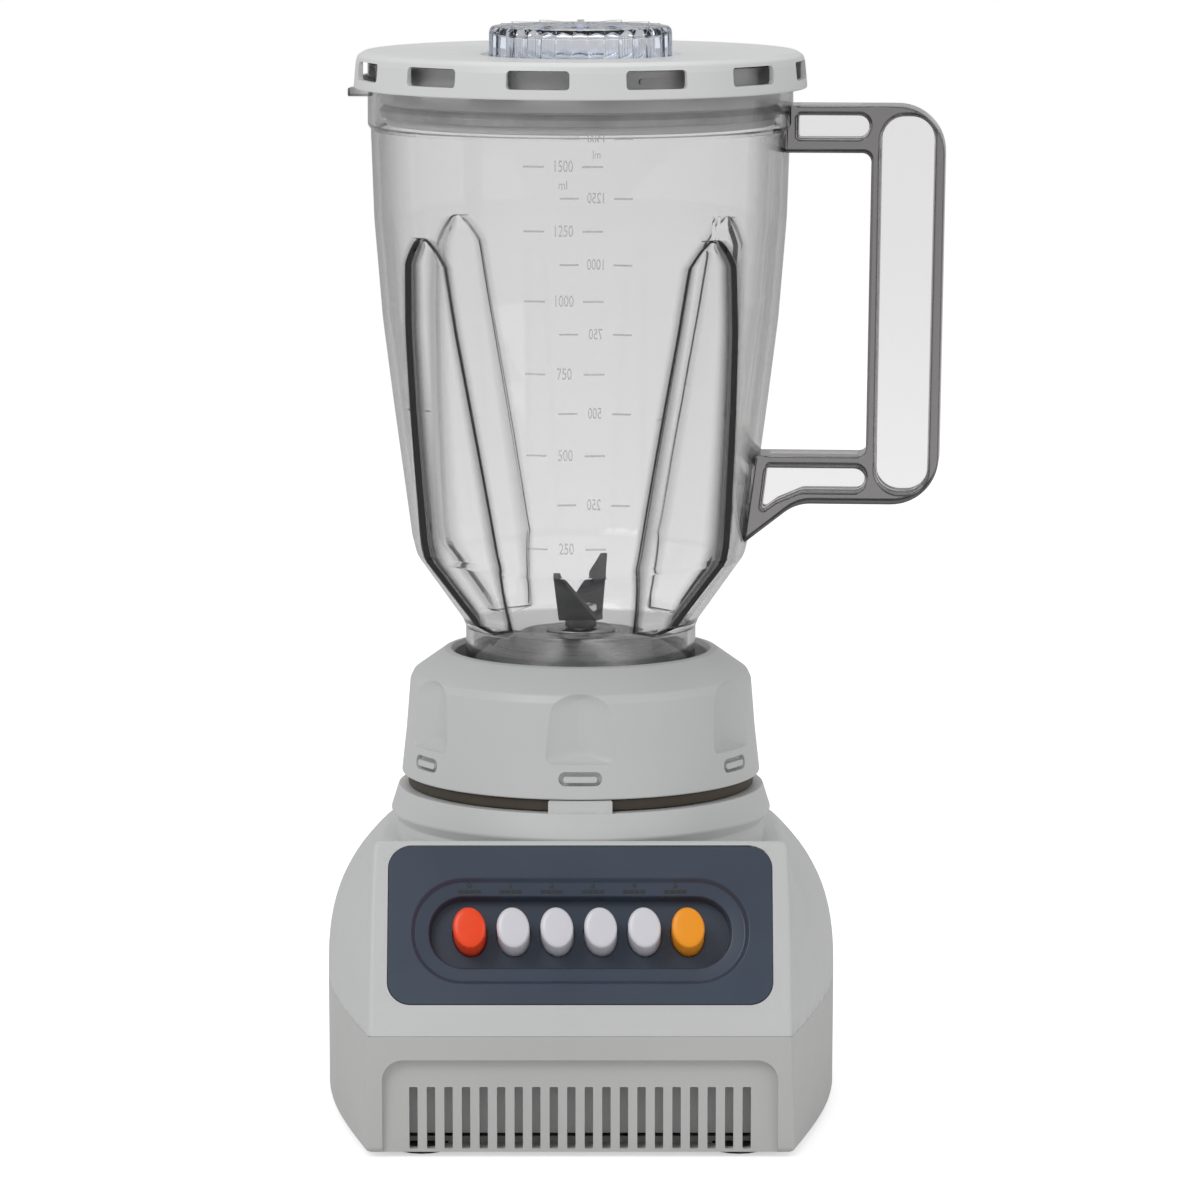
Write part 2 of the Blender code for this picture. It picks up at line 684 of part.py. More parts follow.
def jar_collar(parent):
    outer = [(60.6, COLLAR_FOOT_Z), (58.9, 128.3), (57.6, 144.6), (56.4, 147.2), (46.0, 154.6)]
    top = [(43.9, 155.0), (42.6, 153.4), (42.6, 133.6)]
    ledge = [(31.0, 133.6), (31.0, 130.4), (45.4, 130.4)]
    inner = [(45.8, 148.6), (51.6, 144.6), (54.2, 124.0), (56.2, COLLAR_FOOT_Z)]
    shape = turned([*outer, *top, *ledge, *inner], 40)
    angles = [math.radians(-90) + TAU * i / COLLAR_SIDES for i in range(COLLAR_SIDES)]
    shape = cut(shape, *[grip_cutter(a) for a in angles])
    shape = cut(shape, *[slot_cutter(a) for a in angles])
    make("jar_collar", shape, "housing_grey", parent)


def blade_carrier(parent):
    """The steel cone that closes the jar's foot round the blade shaft."""
    outline = [
        (6.9, 119.0), (9.8, 119.0), (9.8, 159.1), (19.3, 159.1), (33.8, 151.2), (33.8, 133.9), (41.8, 133.9),
        (41.8, 135.4), (35.8, 135.4), (35.8, 152.4), (20.0, 160.9), (6.9, 160.9),
    ]
    make("blade_carrier", turned(outline, 32), "brushed_steel", parent)


def jar_base_pieces(parent):
    jar_collar(parent)
    blade_carrier(parent)
    seal = turned([(36.1, 135.7), (41.6, 135.7), (41.6, 137.7), (36.1, 137.7)], 32)
    make("jar_seal", seal, "black_rubber", parent)
    bush = turned([(SHAFT_BORE, 121.0), (6.6, 121.0), (6.6, 158.6), (SHAFT_BORE, 158.6)], 16)
    make("blade_bush", bush, "bronze", parent)


def blade(parent):
    """Two upswept arms cut from one plate, each running out to a narrow tip along its leading edge."""
    thickness = 1.6
    bend = 6.0
    arm = [(5.0, BLADE_Z, -7.4, 7.4), (8.5, BLADE_Z, -5.4, 7.4), (24.0, 182.4, 6.9, 9.0)]
    stations = [(-y, z, -high, -low) for y, z, low, high in reversed(arm)] + arm
    rings = []
    for along, z, low, high in stations:
        lean = 0.6 * thickness if abs(along) > bend else 0.0
        inner = along - math.copysign(lean, along)
        rings.append([
            Vector((low, along, z)), Vector((high, along, z)),
            Vector((high, inner, z + thickness)), Vector((low, inner, z + thickness)),
        ])
    make("blade", cut(loft(rings), rod(3.3, 150, 190)), "blade_steel", parent)


def blade_stack(parent):
    """The shaft with the washer, hub and nut that hold the blade."""
    shaft = [(0, 112.0), (4.0, 112.0), (4.0, 165.0), (3.0, 165.2), (3.0, 170.6), (0, 170.6)]
    washer = [
        (SHAFT_BORE, 161.2), (11.7, 161.2), (11.7, 162.2), (10.9, 162.7), (9.9, 162.1), (SHAFT_BORE, 162.1),
    ]
    make("blade_shaft", turned(shaft, 12), "brushed_steel", parent)
    make("blade_washer", turned(washer, 20), "brushed_steel", parent)
    bore = rod(SHAFT_BORE, 150, 180, 12)
    make("blade_hub", cut(rod(5.4, 162.4, BLADE_Z - GAP, 6), bore), "blade_steel", parent)
    bore = rod(3.3, 150, 180, 12)
    make("blade_nut", cut(rod(5.4, BLADE_Z + 1.9, 170.2, 6), bore), "brushed_steel", parent)


def blade_pieces(parent):
    blade(parent)
    blade_stack(parent)
    socket = prism(gear_outline(9.9, 12.7, COUPLING_TEETH, share=0.56), 90.0, 110.4)
    coupling = cut(rod(17.4, 99.6, 117.6, 32), socket)
    make("driven_coupling", cut(coupling, rod(SHAFT_BORE, 100, 130)), "black_plastic", parent)


# Jar

def jar_radius(z):
    """The jar's outer radius at a height, without its flutes."""
    z = min(z, JAR_RIM_Z)
    for (upper_r, upper_z), (lower_r, lower_z) in zip(JAR_PROFILE, JAR_PROFILE[1:]):
        if lower_z <= z <= upper_z and upper_z > lower_z:
            return lower_r + (upper_r - lower_r) * (z - lower_z) / (upper_z - lower_z)
    return NECK_R


def flute_half_angle(z):
    """Half the angle that each flat flute spans: opening downwards, then narrowing along the cone."""
    if z >= FLUTE_TOP_Z or z <= FLUTE_END_Z:
        return 0.0
    if z > FLUTE_WIDE_Z:
        down = (FLUTE_TOP_Z - z) / (FLUTE_TOP_Z - FLUTE_WIDE_Z)
        return math.radians(7.5 + 13.5 * down) * min(1.0, math.sqrt(down * 12))
    return math.radians(13.0 + 8.0 * (z - FLUTE_END_Z) / (FLUTE_WIDE_Z - FLUTE_END_Z))


def jar_ring(radius, z):
    """A ring whose quarter turns each hold one flat flute and one round stretch."""
    half = flute_half_angle(z)
    narrow = max(half, math.radians(1.5))
    ring = []
    for quarter in range(4):
        middle = math.radians(45 + 90 * quarter)
        for step in range(2):
            offset = narrow * (step - 1)
            reach = radius * math.cos(half) / math.cos(offset) if half else radius
            angle = middle + offset
            ring.append(Vector((reach * math.cos(angle), reach * math.sin(angle), z)))
        rest = math.radians(90) - 2 * narrow
        for step in range(ROUND_STEPS):
            angle = middle + narrow + rest * step / ROUND_STEPS
            ring.append(Vector((radius * math.cos(angle), radius * math.sin(angle), z)))
    return ring


def jar_levels():
    below_arch = [FLUTE_TOP_Z - drop for drop in (0.6, 4.0)]
    profile = [z for _, z in JAR_PROFILE]
    return sorted({*profile, *below_arch, FLUTE_TOP_Z, FLUTE_WIDE_Z, FLUTE_END_Z})


def jar_body():
    levels = jar_levels()
    outer = loft([jar_ring(jar_radius(z), z) for z in levels])
    inside = [JAR_NECK_Z - 2, *levels[1:-1], JAR_RIM_Z + 2]
    inner = loft([jar_ring(jar_radius(z) - JAR_WALL, z) for z in inside])
    return cut(outer, inner)


def handle_solid():
    """Flanges round a thin web: the plate outline less the finger gap and the pockets on both sides."""
    top, low = jar_radius(330.0) - 1.4, jar_radius(221.6) - 1.5
    plate = filleted([
        (top, 338.5, 0), (HANDLE_REACH, 338.5, 16), (HANDLE_REACH - 1.7, 205.6, 16), (73.0, 205.6, 14),
        (jar_radius(191.6) - 1.6, 191.6, 0), (low, 221.6, 0), (96.2, 221.6, 3), (97.5, 322.9, 3),
        (top, 322.9, 0),
    ], 5)
    pockets = [
        filleted([(72.5, 327.2, 1), (97.0, 327.2, 1), (97.0, 335.4, 1), (72.5, 335.4, 1)], 1),
        filleted([(98.9, 209.0, 8.2), (117.0, 209.0, 8.2), (118.9, 335.2, 8.2), (100.3, 335.2, 8.2)], 4),
        filleted([
            (66.0, 205.6, 1), (74.5, 209.3, 2), (96.2, 209.3, 1), (96.2, 217.6, 1), (62.5, 217.6, 1),
            (60.5, 201.5, 1),
        ], 1),
    ]
    upright = Matrix.Rotation(math.radians(90), 4, "X")
    shape = moved(prism(plate, -HANDLE_HALF, HANDLE_HALF), upright)
    hollows = []
    for outline in pockets:
        for low_y, high_y in ((WEB_HALF, HANDLE_HALF + 5), (-HANDLE_HALF - 5, -WEB_HALF)):
            hollows.append(moved(prism(outline, low_y, high_y), upright))
    return cut(shape, *hollows)


def jar(parent):
    body = jar_body()
    stop_lug = box((-77.8, -4.0, 340.5), (-69.5, 4.0, 343.4))
    ramp_arc = math.radians(20)
    ramps = []
    for angle in (30, 120, 210, 300):
        ramps.append(prism(sector(69.5, 72.6, math.radians(angle), ramp_arc, 4), 348.4, 350.6))
    shape = fused(body, joined([stop_lug, *ramps]), handle_solid())
    make("jar", moved(shape, Matrix.Rotation(JAR_TURN, 4, "Z")), "jar_clear", parent)


# Lid and measuring cap

def lid(parent):
    profile = [
        (73.4, LID_LOW), (LID_R_LOW, LID_LOW), (LID_R_HIGH, 354.4), (73.2, 355.7), (72.0, LID_HIGH),
        (65.0, LID_DISH_Z), (33.4, LID_DISH_Z), (32.6, CAP_SEAT_Z), (27.6, CAP_SEAT_Z), (27.6, 346.0),
        (29.8, 346.0), (29.8, 352.0),
        (63.6, 352.0), (63.6, 332.0), (64.9, 332.0), (64.9, 339.0), (66.8, 339.4), (66.8, 353.5),
        (73.4, 353.5),
    ]
    shape = turned(profile, 40)
    windows = []
    for i in range(WINDOW_COUNT):
        middle = math.radians(-90 - 10.5) + TAU * i / WINDOW_COUNT
        windows.append(prism(sector(71.6, 78.0, middle, WINDOW_ARC, 2), 347.2, 353.3))
    make("lid", cut(shape, *windows), "lid_grey", parent)


def lid_gasket(parent):
    profile = [(65.2, 335.5), (66.6, 334.4), (67.4, 336.9), (65.2, 338.6)]
    make("lid_gasket", turned(profile, 32), "pale_rubber", parent)


def measuring_cap(parent):
    """A cup turned upside down, with fluted sides above the lid and a plain spigot inside the lid's hole."""
    low, high = CAP_LOW, CAP_HIGH
    flutes = 20
    rings = []
    for z, inset in ((low, 0.0), (high - 1.0, 0.0), (high, 1.0)):
        rings.append(gear_outline(CAP_R - 0.8 - inset, CAP_R - inset, flutes, z, 0.42))
    head = loft(rings)
    skirt = rod(27.2, 336.0, low + 2.0, 32)
    shape = fused(head, skirt)
    shape = cut(shape, turned([(0, 330.0), (25.0, 330.0), (25.0, high - 2.6), (0, high - 2.6)], 32))
    make("measuring_cap", shape, "cap_clear", parent)


def build():
    assembly = make_empty("motor_axis", None, Matrix.Translation((AXIS_X, 0, 0)))
    panel = make_empty("panel_frame", assembly, panel_matrix())
    upper_housing(assembly)
    lower_housing(assembly)
    cord_gland(assembly)
    feet(assembly)
    housing_screws(assembly)
    control_panel(panel)
    switch_block(panel)
    keys(panel)
    motor_pieces(assembly)
    splash_seal(assembly)
    seat_gasket(assembly)
    terminal_block(assembly)
    rotor_pieces(assembly)
    jar_base_pieces(assembly)
    blade_pieces(assembly)
    jar(assembly)
    lid(assembly)
    lid_gasket(assembly)
    measuring_cap(assembly)


clear_scene()
MATERIALS = {name: make_material(name) for name in COLOURS}
build()
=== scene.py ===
"""Looks of the countertop blender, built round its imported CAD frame.

Shapes are written in millimetres about the motor axis, Z up from the table, and piece() puts them into the
row frame in metres. Every shown surface of the housing, jar, lid and blade unit is a finer piece that stands
for its CAD node; the motor, the feet and the screws stay CAD nodes and get materials here.
"""

import json
import math

import bmesh
import bpy
from mathutils import Matrix, Vector

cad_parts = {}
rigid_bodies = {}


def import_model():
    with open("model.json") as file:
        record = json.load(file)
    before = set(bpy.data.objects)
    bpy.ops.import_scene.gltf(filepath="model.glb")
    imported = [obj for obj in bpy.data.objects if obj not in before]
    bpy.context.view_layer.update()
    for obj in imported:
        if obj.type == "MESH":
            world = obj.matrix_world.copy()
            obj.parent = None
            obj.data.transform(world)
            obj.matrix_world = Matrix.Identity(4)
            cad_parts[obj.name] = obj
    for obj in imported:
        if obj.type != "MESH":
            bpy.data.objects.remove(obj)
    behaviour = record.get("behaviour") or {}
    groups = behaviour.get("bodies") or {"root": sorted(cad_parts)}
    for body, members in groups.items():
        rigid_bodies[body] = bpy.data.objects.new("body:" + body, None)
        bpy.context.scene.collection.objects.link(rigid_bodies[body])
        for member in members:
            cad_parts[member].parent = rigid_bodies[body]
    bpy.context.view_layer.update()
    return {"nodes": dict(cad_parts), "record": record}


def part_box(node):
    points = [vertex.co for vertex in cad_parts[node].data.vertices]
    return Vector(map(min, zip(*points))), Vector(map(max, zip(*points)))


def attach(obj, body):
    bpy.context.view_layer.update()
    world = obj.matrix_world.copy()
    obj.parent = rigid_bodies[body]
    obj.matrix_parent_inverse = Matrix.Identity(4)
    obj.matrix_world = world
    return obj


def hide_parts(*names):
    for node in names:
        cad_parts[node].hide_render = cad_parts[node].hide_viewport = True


for old in list(bpy.data.objects):
    bpy.data.objects.remove(old, do_unlink=True)
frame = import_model()

MM = 0.001
TAU = 2 * math.pi
lid_low, lid_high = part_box("lid")
AXIS_X = (lid_low.x + lid_high.x) / 2
TO_WORLD = Matrix.Translation((AXIS_X, 0, 0)) @ Matrix.Scale(MM, 4)
GAP = 0.3

# Base
HOUSING_HALF, FRONT_HALF, REAR_HALF = 86.8, 69.0, 50.0
FRONT_Y, WIDEST_Y, REAR_Y = -94.0, 25.0, 86.0
SEAM_Z, DECK_Z = 41.0, 90.6
BROW_Y, BROW_Z = -66.0, 100.7
RAMP_END_Y = -40.0
WALL = 3.0
RIDGE = 1.5
SEAT_WELL_R, SEAT_RIM_Z = 56.3, 108.6
COLLAR_FOOT_Z = 113.0

# Control panel, in its own frame: X right, Y up the slope, Z out of the slope
PANEL_TILT = math.atan2(BROW_Y - FRONT_Y, BROW_Z - SEAM_Z)
PANEL_Z = 73.0
PANEL_Y = FRONT_Y + (PANEL_Z - SEAM_Z) * math.tan(PANEL_TILT)
PANEL_HALF = 62.8
PANEL_LOW, PANEL_HIGH = -24.6, 28.6
TRAY_FLOOR, TRAY_DEPTH = 9.0, 7.0
KEY_COUNT, KEY_PITCH, KEY_FIRST_X = 6, 14.3, -36.2
KEY_HALF_X, KEY_HALF_Y, KEY_REACH = 5.35, 6.85, 5.6
KEY_LEAN = math.radians(8)
KEY_SLOTS = ("key_red", "key_white", "key_white", "key_white", "key_white", "key_amber")

# Jar
JAR_TURN = math.radians(-4.5)
JAR_WALL = 2.5
JAR_RIM_Z, JAR_NECK_Z = 353.0, 138.0
NECK_R = 38.8
FLUTE_TOP_Z, FLUTE_WIDE_Z, FLUTE_END_Z = 297.0, 188.0, 163.0
JAR_CORNERS = (
    (NECK_R, JAR_NECK_Z, 0), (NECK_R, 162.5, 2.5), (39.8, 165.2, 4), (55.2, 187.0, 9), (56.8, 193.4, 20),
    (62.8, 238.6, 80), (66.3, 266.5, 80), (69.0, 300.0, 80), (70.0, 330.2, 0.4), (71.0, 331.7, 0.4),
    (71.0, JAR_RIM_Z, 1.0),
)
HANDLE_REACH, HANDLE_HALF, WEB_HALF = 122.0, 10.0, 1.6
BLADE_Z = 165.7


# Outlines

def circle(radius, steps, z=0.0, centre=(0.0, 0.0)):
    return [
        Vector((
            centre[0] + radius * math.cos(TAU * i / steps), centre[1] + radius * math.sin(TAU * i / steps), z
        ))
        for i in range(steps)
    ]


def ellipse(half_x, half_y, steps, z=0.0, lean=0.0):
    turn = Matrix.Rotation(lean, 3, "Z")
    return [
        turn @ Vector((half_x * math.cos(TAU * i / steps), half_y * math.sin(TAU * i / steps), z))
        for i in range(steps)
    ]


def filleted(corners, steps=6, z=0.0, closed=True):
    """An outline through corners of (x, y, radius), each radius above 0 rounded by an arc."""
    outline = []
    last = len(corners) - 1
    for i, (x, y, radius) in enumerate(corners):
        here = Vector((x, y))
        if radius == 0 or (not closed and i in (0, last)):
            outline.append(Vector((x, y, z)))
            continue
        before = Vector(corners[i - 1][:2]) - here
        after = Vector(corners[(i + 1) % len(corners)][:2]) - here
        half = before.angle(after) / 2
        reach = min(radius / math.tan(half), 0.48 * before.length, 0.48 * after.length)
        radius = reach * math.tan(half)
        before.normalize()
        after.normalize()
        centre = here + (before + after).normalized() * radius / math.sin(half)
        start, end = here + before * reach - centre, here + after * reach - centre
        sweep = math.pi - 2 * half
        for step in range(steps + 1):
            part = sweep * step / steps
            spoke = (start * math.sin(sweep - part) + end * math.sin(part)) / math.sin(sweep)
            outline.append(Vector((*(centre + spoke), z)))
    return outline


def rectangle(half_x, half_y, radius=0.0, centre=(0.0, 0.0), steps=6, z=0.0):
    x, y = centre
    corners = [
        (x - half_x, y - half_y, radius), (x + half_x, y - half_y, radius),
        (x + half_x, y + half_y, radius), (x - half_x, y + half_y, radius),
    ]
    return filleted(corners, steps, z)


# Solids, as bmesh meshes in millimetres

def loft(rings, closed=False):
    """A solid through rings of equal length; closed joins the last ring to the first, as in a bent tube."""
    shape = bmesh.new()
    rows = [[shape.verts.new(point) for point in ring] for ring in rings]
    pairs = list(zip(rows, rows[1:]))
    if closed:
        pairs.append((rows[-1], rows[0]))
    for low, high in pairs:
        for corner in zip(low, low[1:] + low[:1], high[1:] + high[:1], high):
            shape.faces.new(corner)
    if not closed:
        shape.faces.new(rows[0][::-1])
        shape.faces.new(rows[-1])
    bmesh.ops.recalc_face_normals(shape, faces=shape.faces)
    return shape


def prism(outline, low, high):
    return loft([[Vector((p[0], p[1], z)) for p in outline] for z in (low, high)])


def box(low, high):
    outline = [(low[0], low[1]), (high[0], low[1]), (high[0], high[1]), (low[0], high[1])]
    return prism(outline, low[2], high[2])


def rod(radius, low, high, steps=32, centre=(0.0, 0.0)):
    return prism(circle(radius, steps, centre=centre), low, high)


def turned(profile, steps=160):
    """A closed profile of (radius, z) or (radius, z, fillet) spun about Z."""
    corners = [p if len(p) == 3 else (*p, 0) for p in profile]
    points = filleted(corners, 5)
    shape = bmesh.new()
    rows = []
    for i in range(steps):
        spin = TAU * i / steps
        rows.append([
            shape.verts.new((p.x * math.cos(spin), p.x * math.sin(spin), p.y)) for p in points
        ])
    for near, far in zip(rows, rows[1:] + rows[:1]):
        for corner in zip(near, near[1:] + near[:1], far[1:] + far[:1], far):
            shape.faces.new(corner)
    bmesh.ops.remove_doubles(shape, verts=shape.verts, dist=1e-3)
    bmesh.ops.recalc_face_normals(shape, faces=shape.faces)
    return shape


def moved(shape, matrix):
    bmesh.ops.transform(shape, matrix=matrix, verts=shape.verts)
    return shape


def around(outline, middle, inner, outer, reference):
    """A block whose outline of (arc length, z) lies on a cylinder, between two radii."""
    rings = []
    for radius in (inner, outer):
        ring = []
        for point in outline:
            angle = middle + point.x / reference
            ring.append(Vector((radius * math.cos(angle), radius * math.sin(angle), point.y)))
        rings.append(ring)
    return loft(rings)


def mesh_of(shape, name="working"):
    mesh = bpy.data.meshes.new(name)
    shape.to_mesh(mesh)
    shape.free()
    return mesh


def joined(shapes):
    """Several shapes that don't touch, as one mesh."""
    together = bmesh.new()
    for shape in shapes:
        mesh = mesh_of(shape)
        together.from_mesh(mesh)
        bpy.data.meshes.remove(mesh)
    return together


def evaluated(shape, add_modifiers):
    """The shape after the modifiers that add_modifiers puts on it."""
    item = bpy.data.objects.new("working", mesh_of(shape))
    bpy.context.scene.collection.objects.link(item)
    add_modifiers(item)
    graph = bpy.context.evaluated_depsgraph_get()
    result = bpy.data.meshes.new_from_object(item.evaluated_get(graph))
    out = bmesh.new()
    out.from_mesh(result)
    bpy.data.meshes.remove(result)
    mesh = item.data
    bpy.data.objects.remove(item)
    bpy.data.meshes.remove(mesh)
    return out


def boolean(shape, other, operation):
    """The two shapes combined by Blender's exact Boolean, with leftover points merged."""
    tool = bpy.data.objects.new("tool", mesh_of(other))
    bpy.context.scene.collection.objects.link(tool)

    def add(item):
        step = item.modifiers.new("Step", "BOOLEAN")
        step.operation = operation
        step.object = tool
        step.solver = "EXACT"

    out = evaluated(shape, add)
    mesh = tool.data
    bpy.data.objects.remove(tool)
    bpy.data.meshes.remove(mesh)
    bmesh.ops.remove_doubles(out, verts=out.verts, dist=1e-3)
    return out


def cut(shape, *cutters):
    return boolean(shape, joined(cutters), "DIFFERENCE")


def fused(shape, *others):
    for other in others:
        shape = boolean(shape, other, "UNION")
    return shape


def add_bevel(item, width, segments, angle=35):
    bevel = item.modifiers.new("Rounding", "BEVEL")
    bevel.width = width
    bevel.segments = segments
    bevel.limit_method = "ANGLE"
    bevel.angle_limit = math.radians(angle)
    bevel.use_clamp_overlap = True
    bevel.harden_normals = False
    return bevel


def bevelled(shape, width, segments=3, angle=35):
    return evaluated(shape, lambda item: add_bevel(item, width, segments, angle))


def piece(
    name, shape, body, slot, replaces=(), bevel=0.0, segments=2, sharp=32, flat=False,
    matrix=Matrix.Identity(4)
):
    """One shown piece: a millimetre shape in the row frame, on its body and with its slot's material."""
    moved(shape, TO_WORLD @ matrix)
    mesh = mesh_of(shape, name)
    mesh.materials.append(MATERIALS[slot])
    mesh.shade_smooth()
    item = bpy.data.objects.new(name, mesh)
    bpy.context.scene.collection.objects.link(item)
    if bevel:
        add_bevel(item, bevel * MM, segments)
    else:
        mesh.set_sharp_from_angle(angle=math.radians(sharp))
    if bevel or flat:
        weighted = item.modifiers.new("Normals", "WEIGHTED_NORMAL")
        weighted.keep_sharp = flat
    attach(item, body)
    if replaces:
        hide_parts(*replaces)
    return item


def text_shape(words, height, width_scale=1.0, depth=0.2):
    """Flat raised lettering in the XY plane, centred on the origin, for numerals only."""
    curve = bpy.data.curves.new("words", "FONT")
    curve.body = words
    curve.align_x = "CENTER"
    curve.align_y = "CENTER"
    curve.size = height * 1.38
    curve.extrude = depth / 2
    curve.resolution_u = 4
    item = bpy.data.objects.new("words", curve)
    bpy.context.scene.collection.objects.link(item)
    graph = bpy.context.evaluated_depsgraph_get()
    result = bpy.data.meshes.new_from_object(item.evaluated_get(graph))
    shape = bmesh.new()
    shape.from_mesh(result)
    bpy.data.meshes.remove(result)
    bpy.data.objects.remove(item)
    bpy.data.curves.remove(curve)
    return moved(shape, Matrix.Diagonal((width_scale, 1, 1, 1)))


# Materials

class Nodes:
    """A material's node tree with short calls to add and link nodes."""

    def __init__(self, name):
        self.material = bpy.data.materials.new(name)
        self.material.use_nodes = True
        self.tree = self.material.node_tree
        self.shader = self.tree.nodes["Principled BSDF"]
        self.output = self.tree.nodes["Material Output"]
        coordinates = self.add("ShaderNodeTexCoord")
        self.place = coordinates.outputs["Object"]

    def add(self, kind, inputs=None, **settings):
        node = self.tree.nodes.new(kind)
        for key, value in settings.items():
            setattr(node, key, value)
        for key, value in (inputs or {}).items():
            if isinstance(value, bpy.types.NodeSocket):
                self.tree.links.new(value, node.inputs[key])
            else:
                node.inputs[key].default_value = value
        return node

    def link(self, source, target):
        self.tree.links.new(source, target)

    def noise(self, scale, detail=3.0, roughness=0.5, vector=None, **more):
        inputs = {"Vector": vector or self.place, "Scale": scale, "Detail": detail, "Roughness": roughness}
        return self.add("ShaderNodeTexNoise", inputs, **more).outputs["Fac"]

    def ranged(self, value, low, high, from_low=0.3, from_high=0.7):
        inputs = {"Value": value, "From Min": from_low, "From Max": from_high, "To Min": low, "To Max": high}
        return self.add("ShaderNodeMapRange", inputs).outputs["Result"]

    def colours(self, value, stops):
        ramp = self.add("ShaderNodeValToRGB", {"Fac": value})
        elements = ramp.color_ramp.elements
        while len(elements) < len(stops):
            elements.new(0.5)
        for element, (position, colour) in zip(elements, stops):
            element.position = position
            element.color = (*colour, 1.0)
        return ramp.outputs["Color"]

    def bump(self, height, strength, distance, normal=None):
        inputs = {"Height": height, "Strength": strength, "Distance": distance}
        if normal:
            inputs["Normal"] = normal
        return self.add("ShaderNodeBump", inputs).outputs["Normal"]

    def set(self, **values):
        for key, value in values.items():
            socket = self.shader.inputs[key.replace("_", " ")]
            if isinstance(value, bpy.types.NodeSocket):
                self.tree.links.new(value, socket)
            else:
                socket.default_value = value


EDGE_SHADE_ATTRIBUTE = "painted_edge_shade"  # the mesh attribute of painted shade on clear plastic: painted dark refraction lines, 1 at full strength


def shade(colour, factor):
    return tuple(min(1.0, channel * factor) for channel in colour)


def moulded(name, colour, roughness, grain=0.10, coat=0.0, tone=0.03):
    """Moulded plastic: faint flow marks in tone, a fine spark-eroded grain and a little wipe-worn gloss."""
    n = Nodes(name)
    flow = n.noise(9.0, 4.0, 0.6)
    n.set(Base_Color=n.colours(flow, [(0.3, shade(colour, 1 - tone)), (0.7, shade(colour, 1 + tone))]))
    wipe = n.noise(38.0, 5.0, 0.62)
    n.set(Roughness=n.ranged(wipe, roughness - 0.05, roughness + 0.07))
    fine = n.noise(2600.0, 2.0, 0.5)
    soft = n.noise(60.0, 2.0, 0.5)
    waves = n.bump(soft, 0.05, 0.0006)
    n.set(Normal=n.bump(fine, grain, 0.00004, waves))
    n.shader.inputs["IOR"].default_value = 1.49
    if coat:
        n.shader.inputs["Coat Weight"].default_value = coat
        n.shader.inputs["Coat Roughness"].default_value = 0.12
    return n.material


def radial(n):
    """Angle about the motor axis as a value that repeats once a turn, and the distance from the axis."""
    shift = n.add("ShaderNodeVectorMath", {0: n.place, 1: (AXIS_X, 0, 0)}, operation="SUBTRACT")
    parts = n.add("ShaderNodeSeparateXYZ", {0: shift.outputs[0]})
    angle = n.add("ShaderNodeMath", {0: parts.outputs["Y"], 1: parts.outputs["X"]}, operation="ARCTAN2")
    flat = n.add("ShaderNodeCombineXYZ", {0: parts.outputs["X"], 1: parts.outputs["Y"]})
    reach = n.add("ShaderNodeVectorMath", {0: flat.outputs[0]}, operation="LENGTH")
    return angle.outputs[0], reach.outputs["Value"], parts.outputs["Z"]


def turned_steel(name, colour, roughness):
    """Stainless steel with the concentric lines that turning or spinning leaves."""
    n = Nodes(name)
    angle, reach, height = radial(n)
    lines_at = n.add("ShaderNodeCombineXYZ", {0: reach, 1: height})
    lines = n.noise(9000.0, 2.0, 0.6, lines_at.outputs[0])
    smear = n.noise(60.0, 4.0, 0.6)
    n.set(Base_Color=n.colours(smear, [(0.3, shade(colour, 0.92)), (0.7, shade(colour, 1.06))]))
    n.set(Roughness=n.ranged(lines, roughness - 0.05, roughness + 0.08))
    n.set(Normal=n.bump(lines, 0.03, 0.00002))
    n.set(Metallic=1.0, Anisotropic=0.75)
    tangent = n.add("ShaderNodeTangent", direction_type="RADIAL", axis="Z")
    n.link(tangent.outputs[0], n.shader.inputs["Tangent"])
    return n.material


def ground_steel(name, colour, roughness):
    """Stainless steel with straight grinding lines and a few darker smears."""
    n = Nodes(name)
    stretched = n.add("ShaderNodeMapping", {"Vector": n.place, "Scale": (6.0, 1.0, 0.3)})
    lines = n.noise(900.0, 3.0, 0.6, stretched.outputs[0])
    smear = n.noise(120.0, 4.0, 0.6)
    n.set(Base_Color=n.colours(smear, [(0.3, shade(colour, 0.8)), (0.7, shade(colour, 1.2))]))
    n.set(Roughness=n.ranged(lines, roughness - 0.08, roughness + 0.1))
    n.set(Normal=n.bump(lines, 0.15, 0.00003), Metallic=1.0)
    return n.material


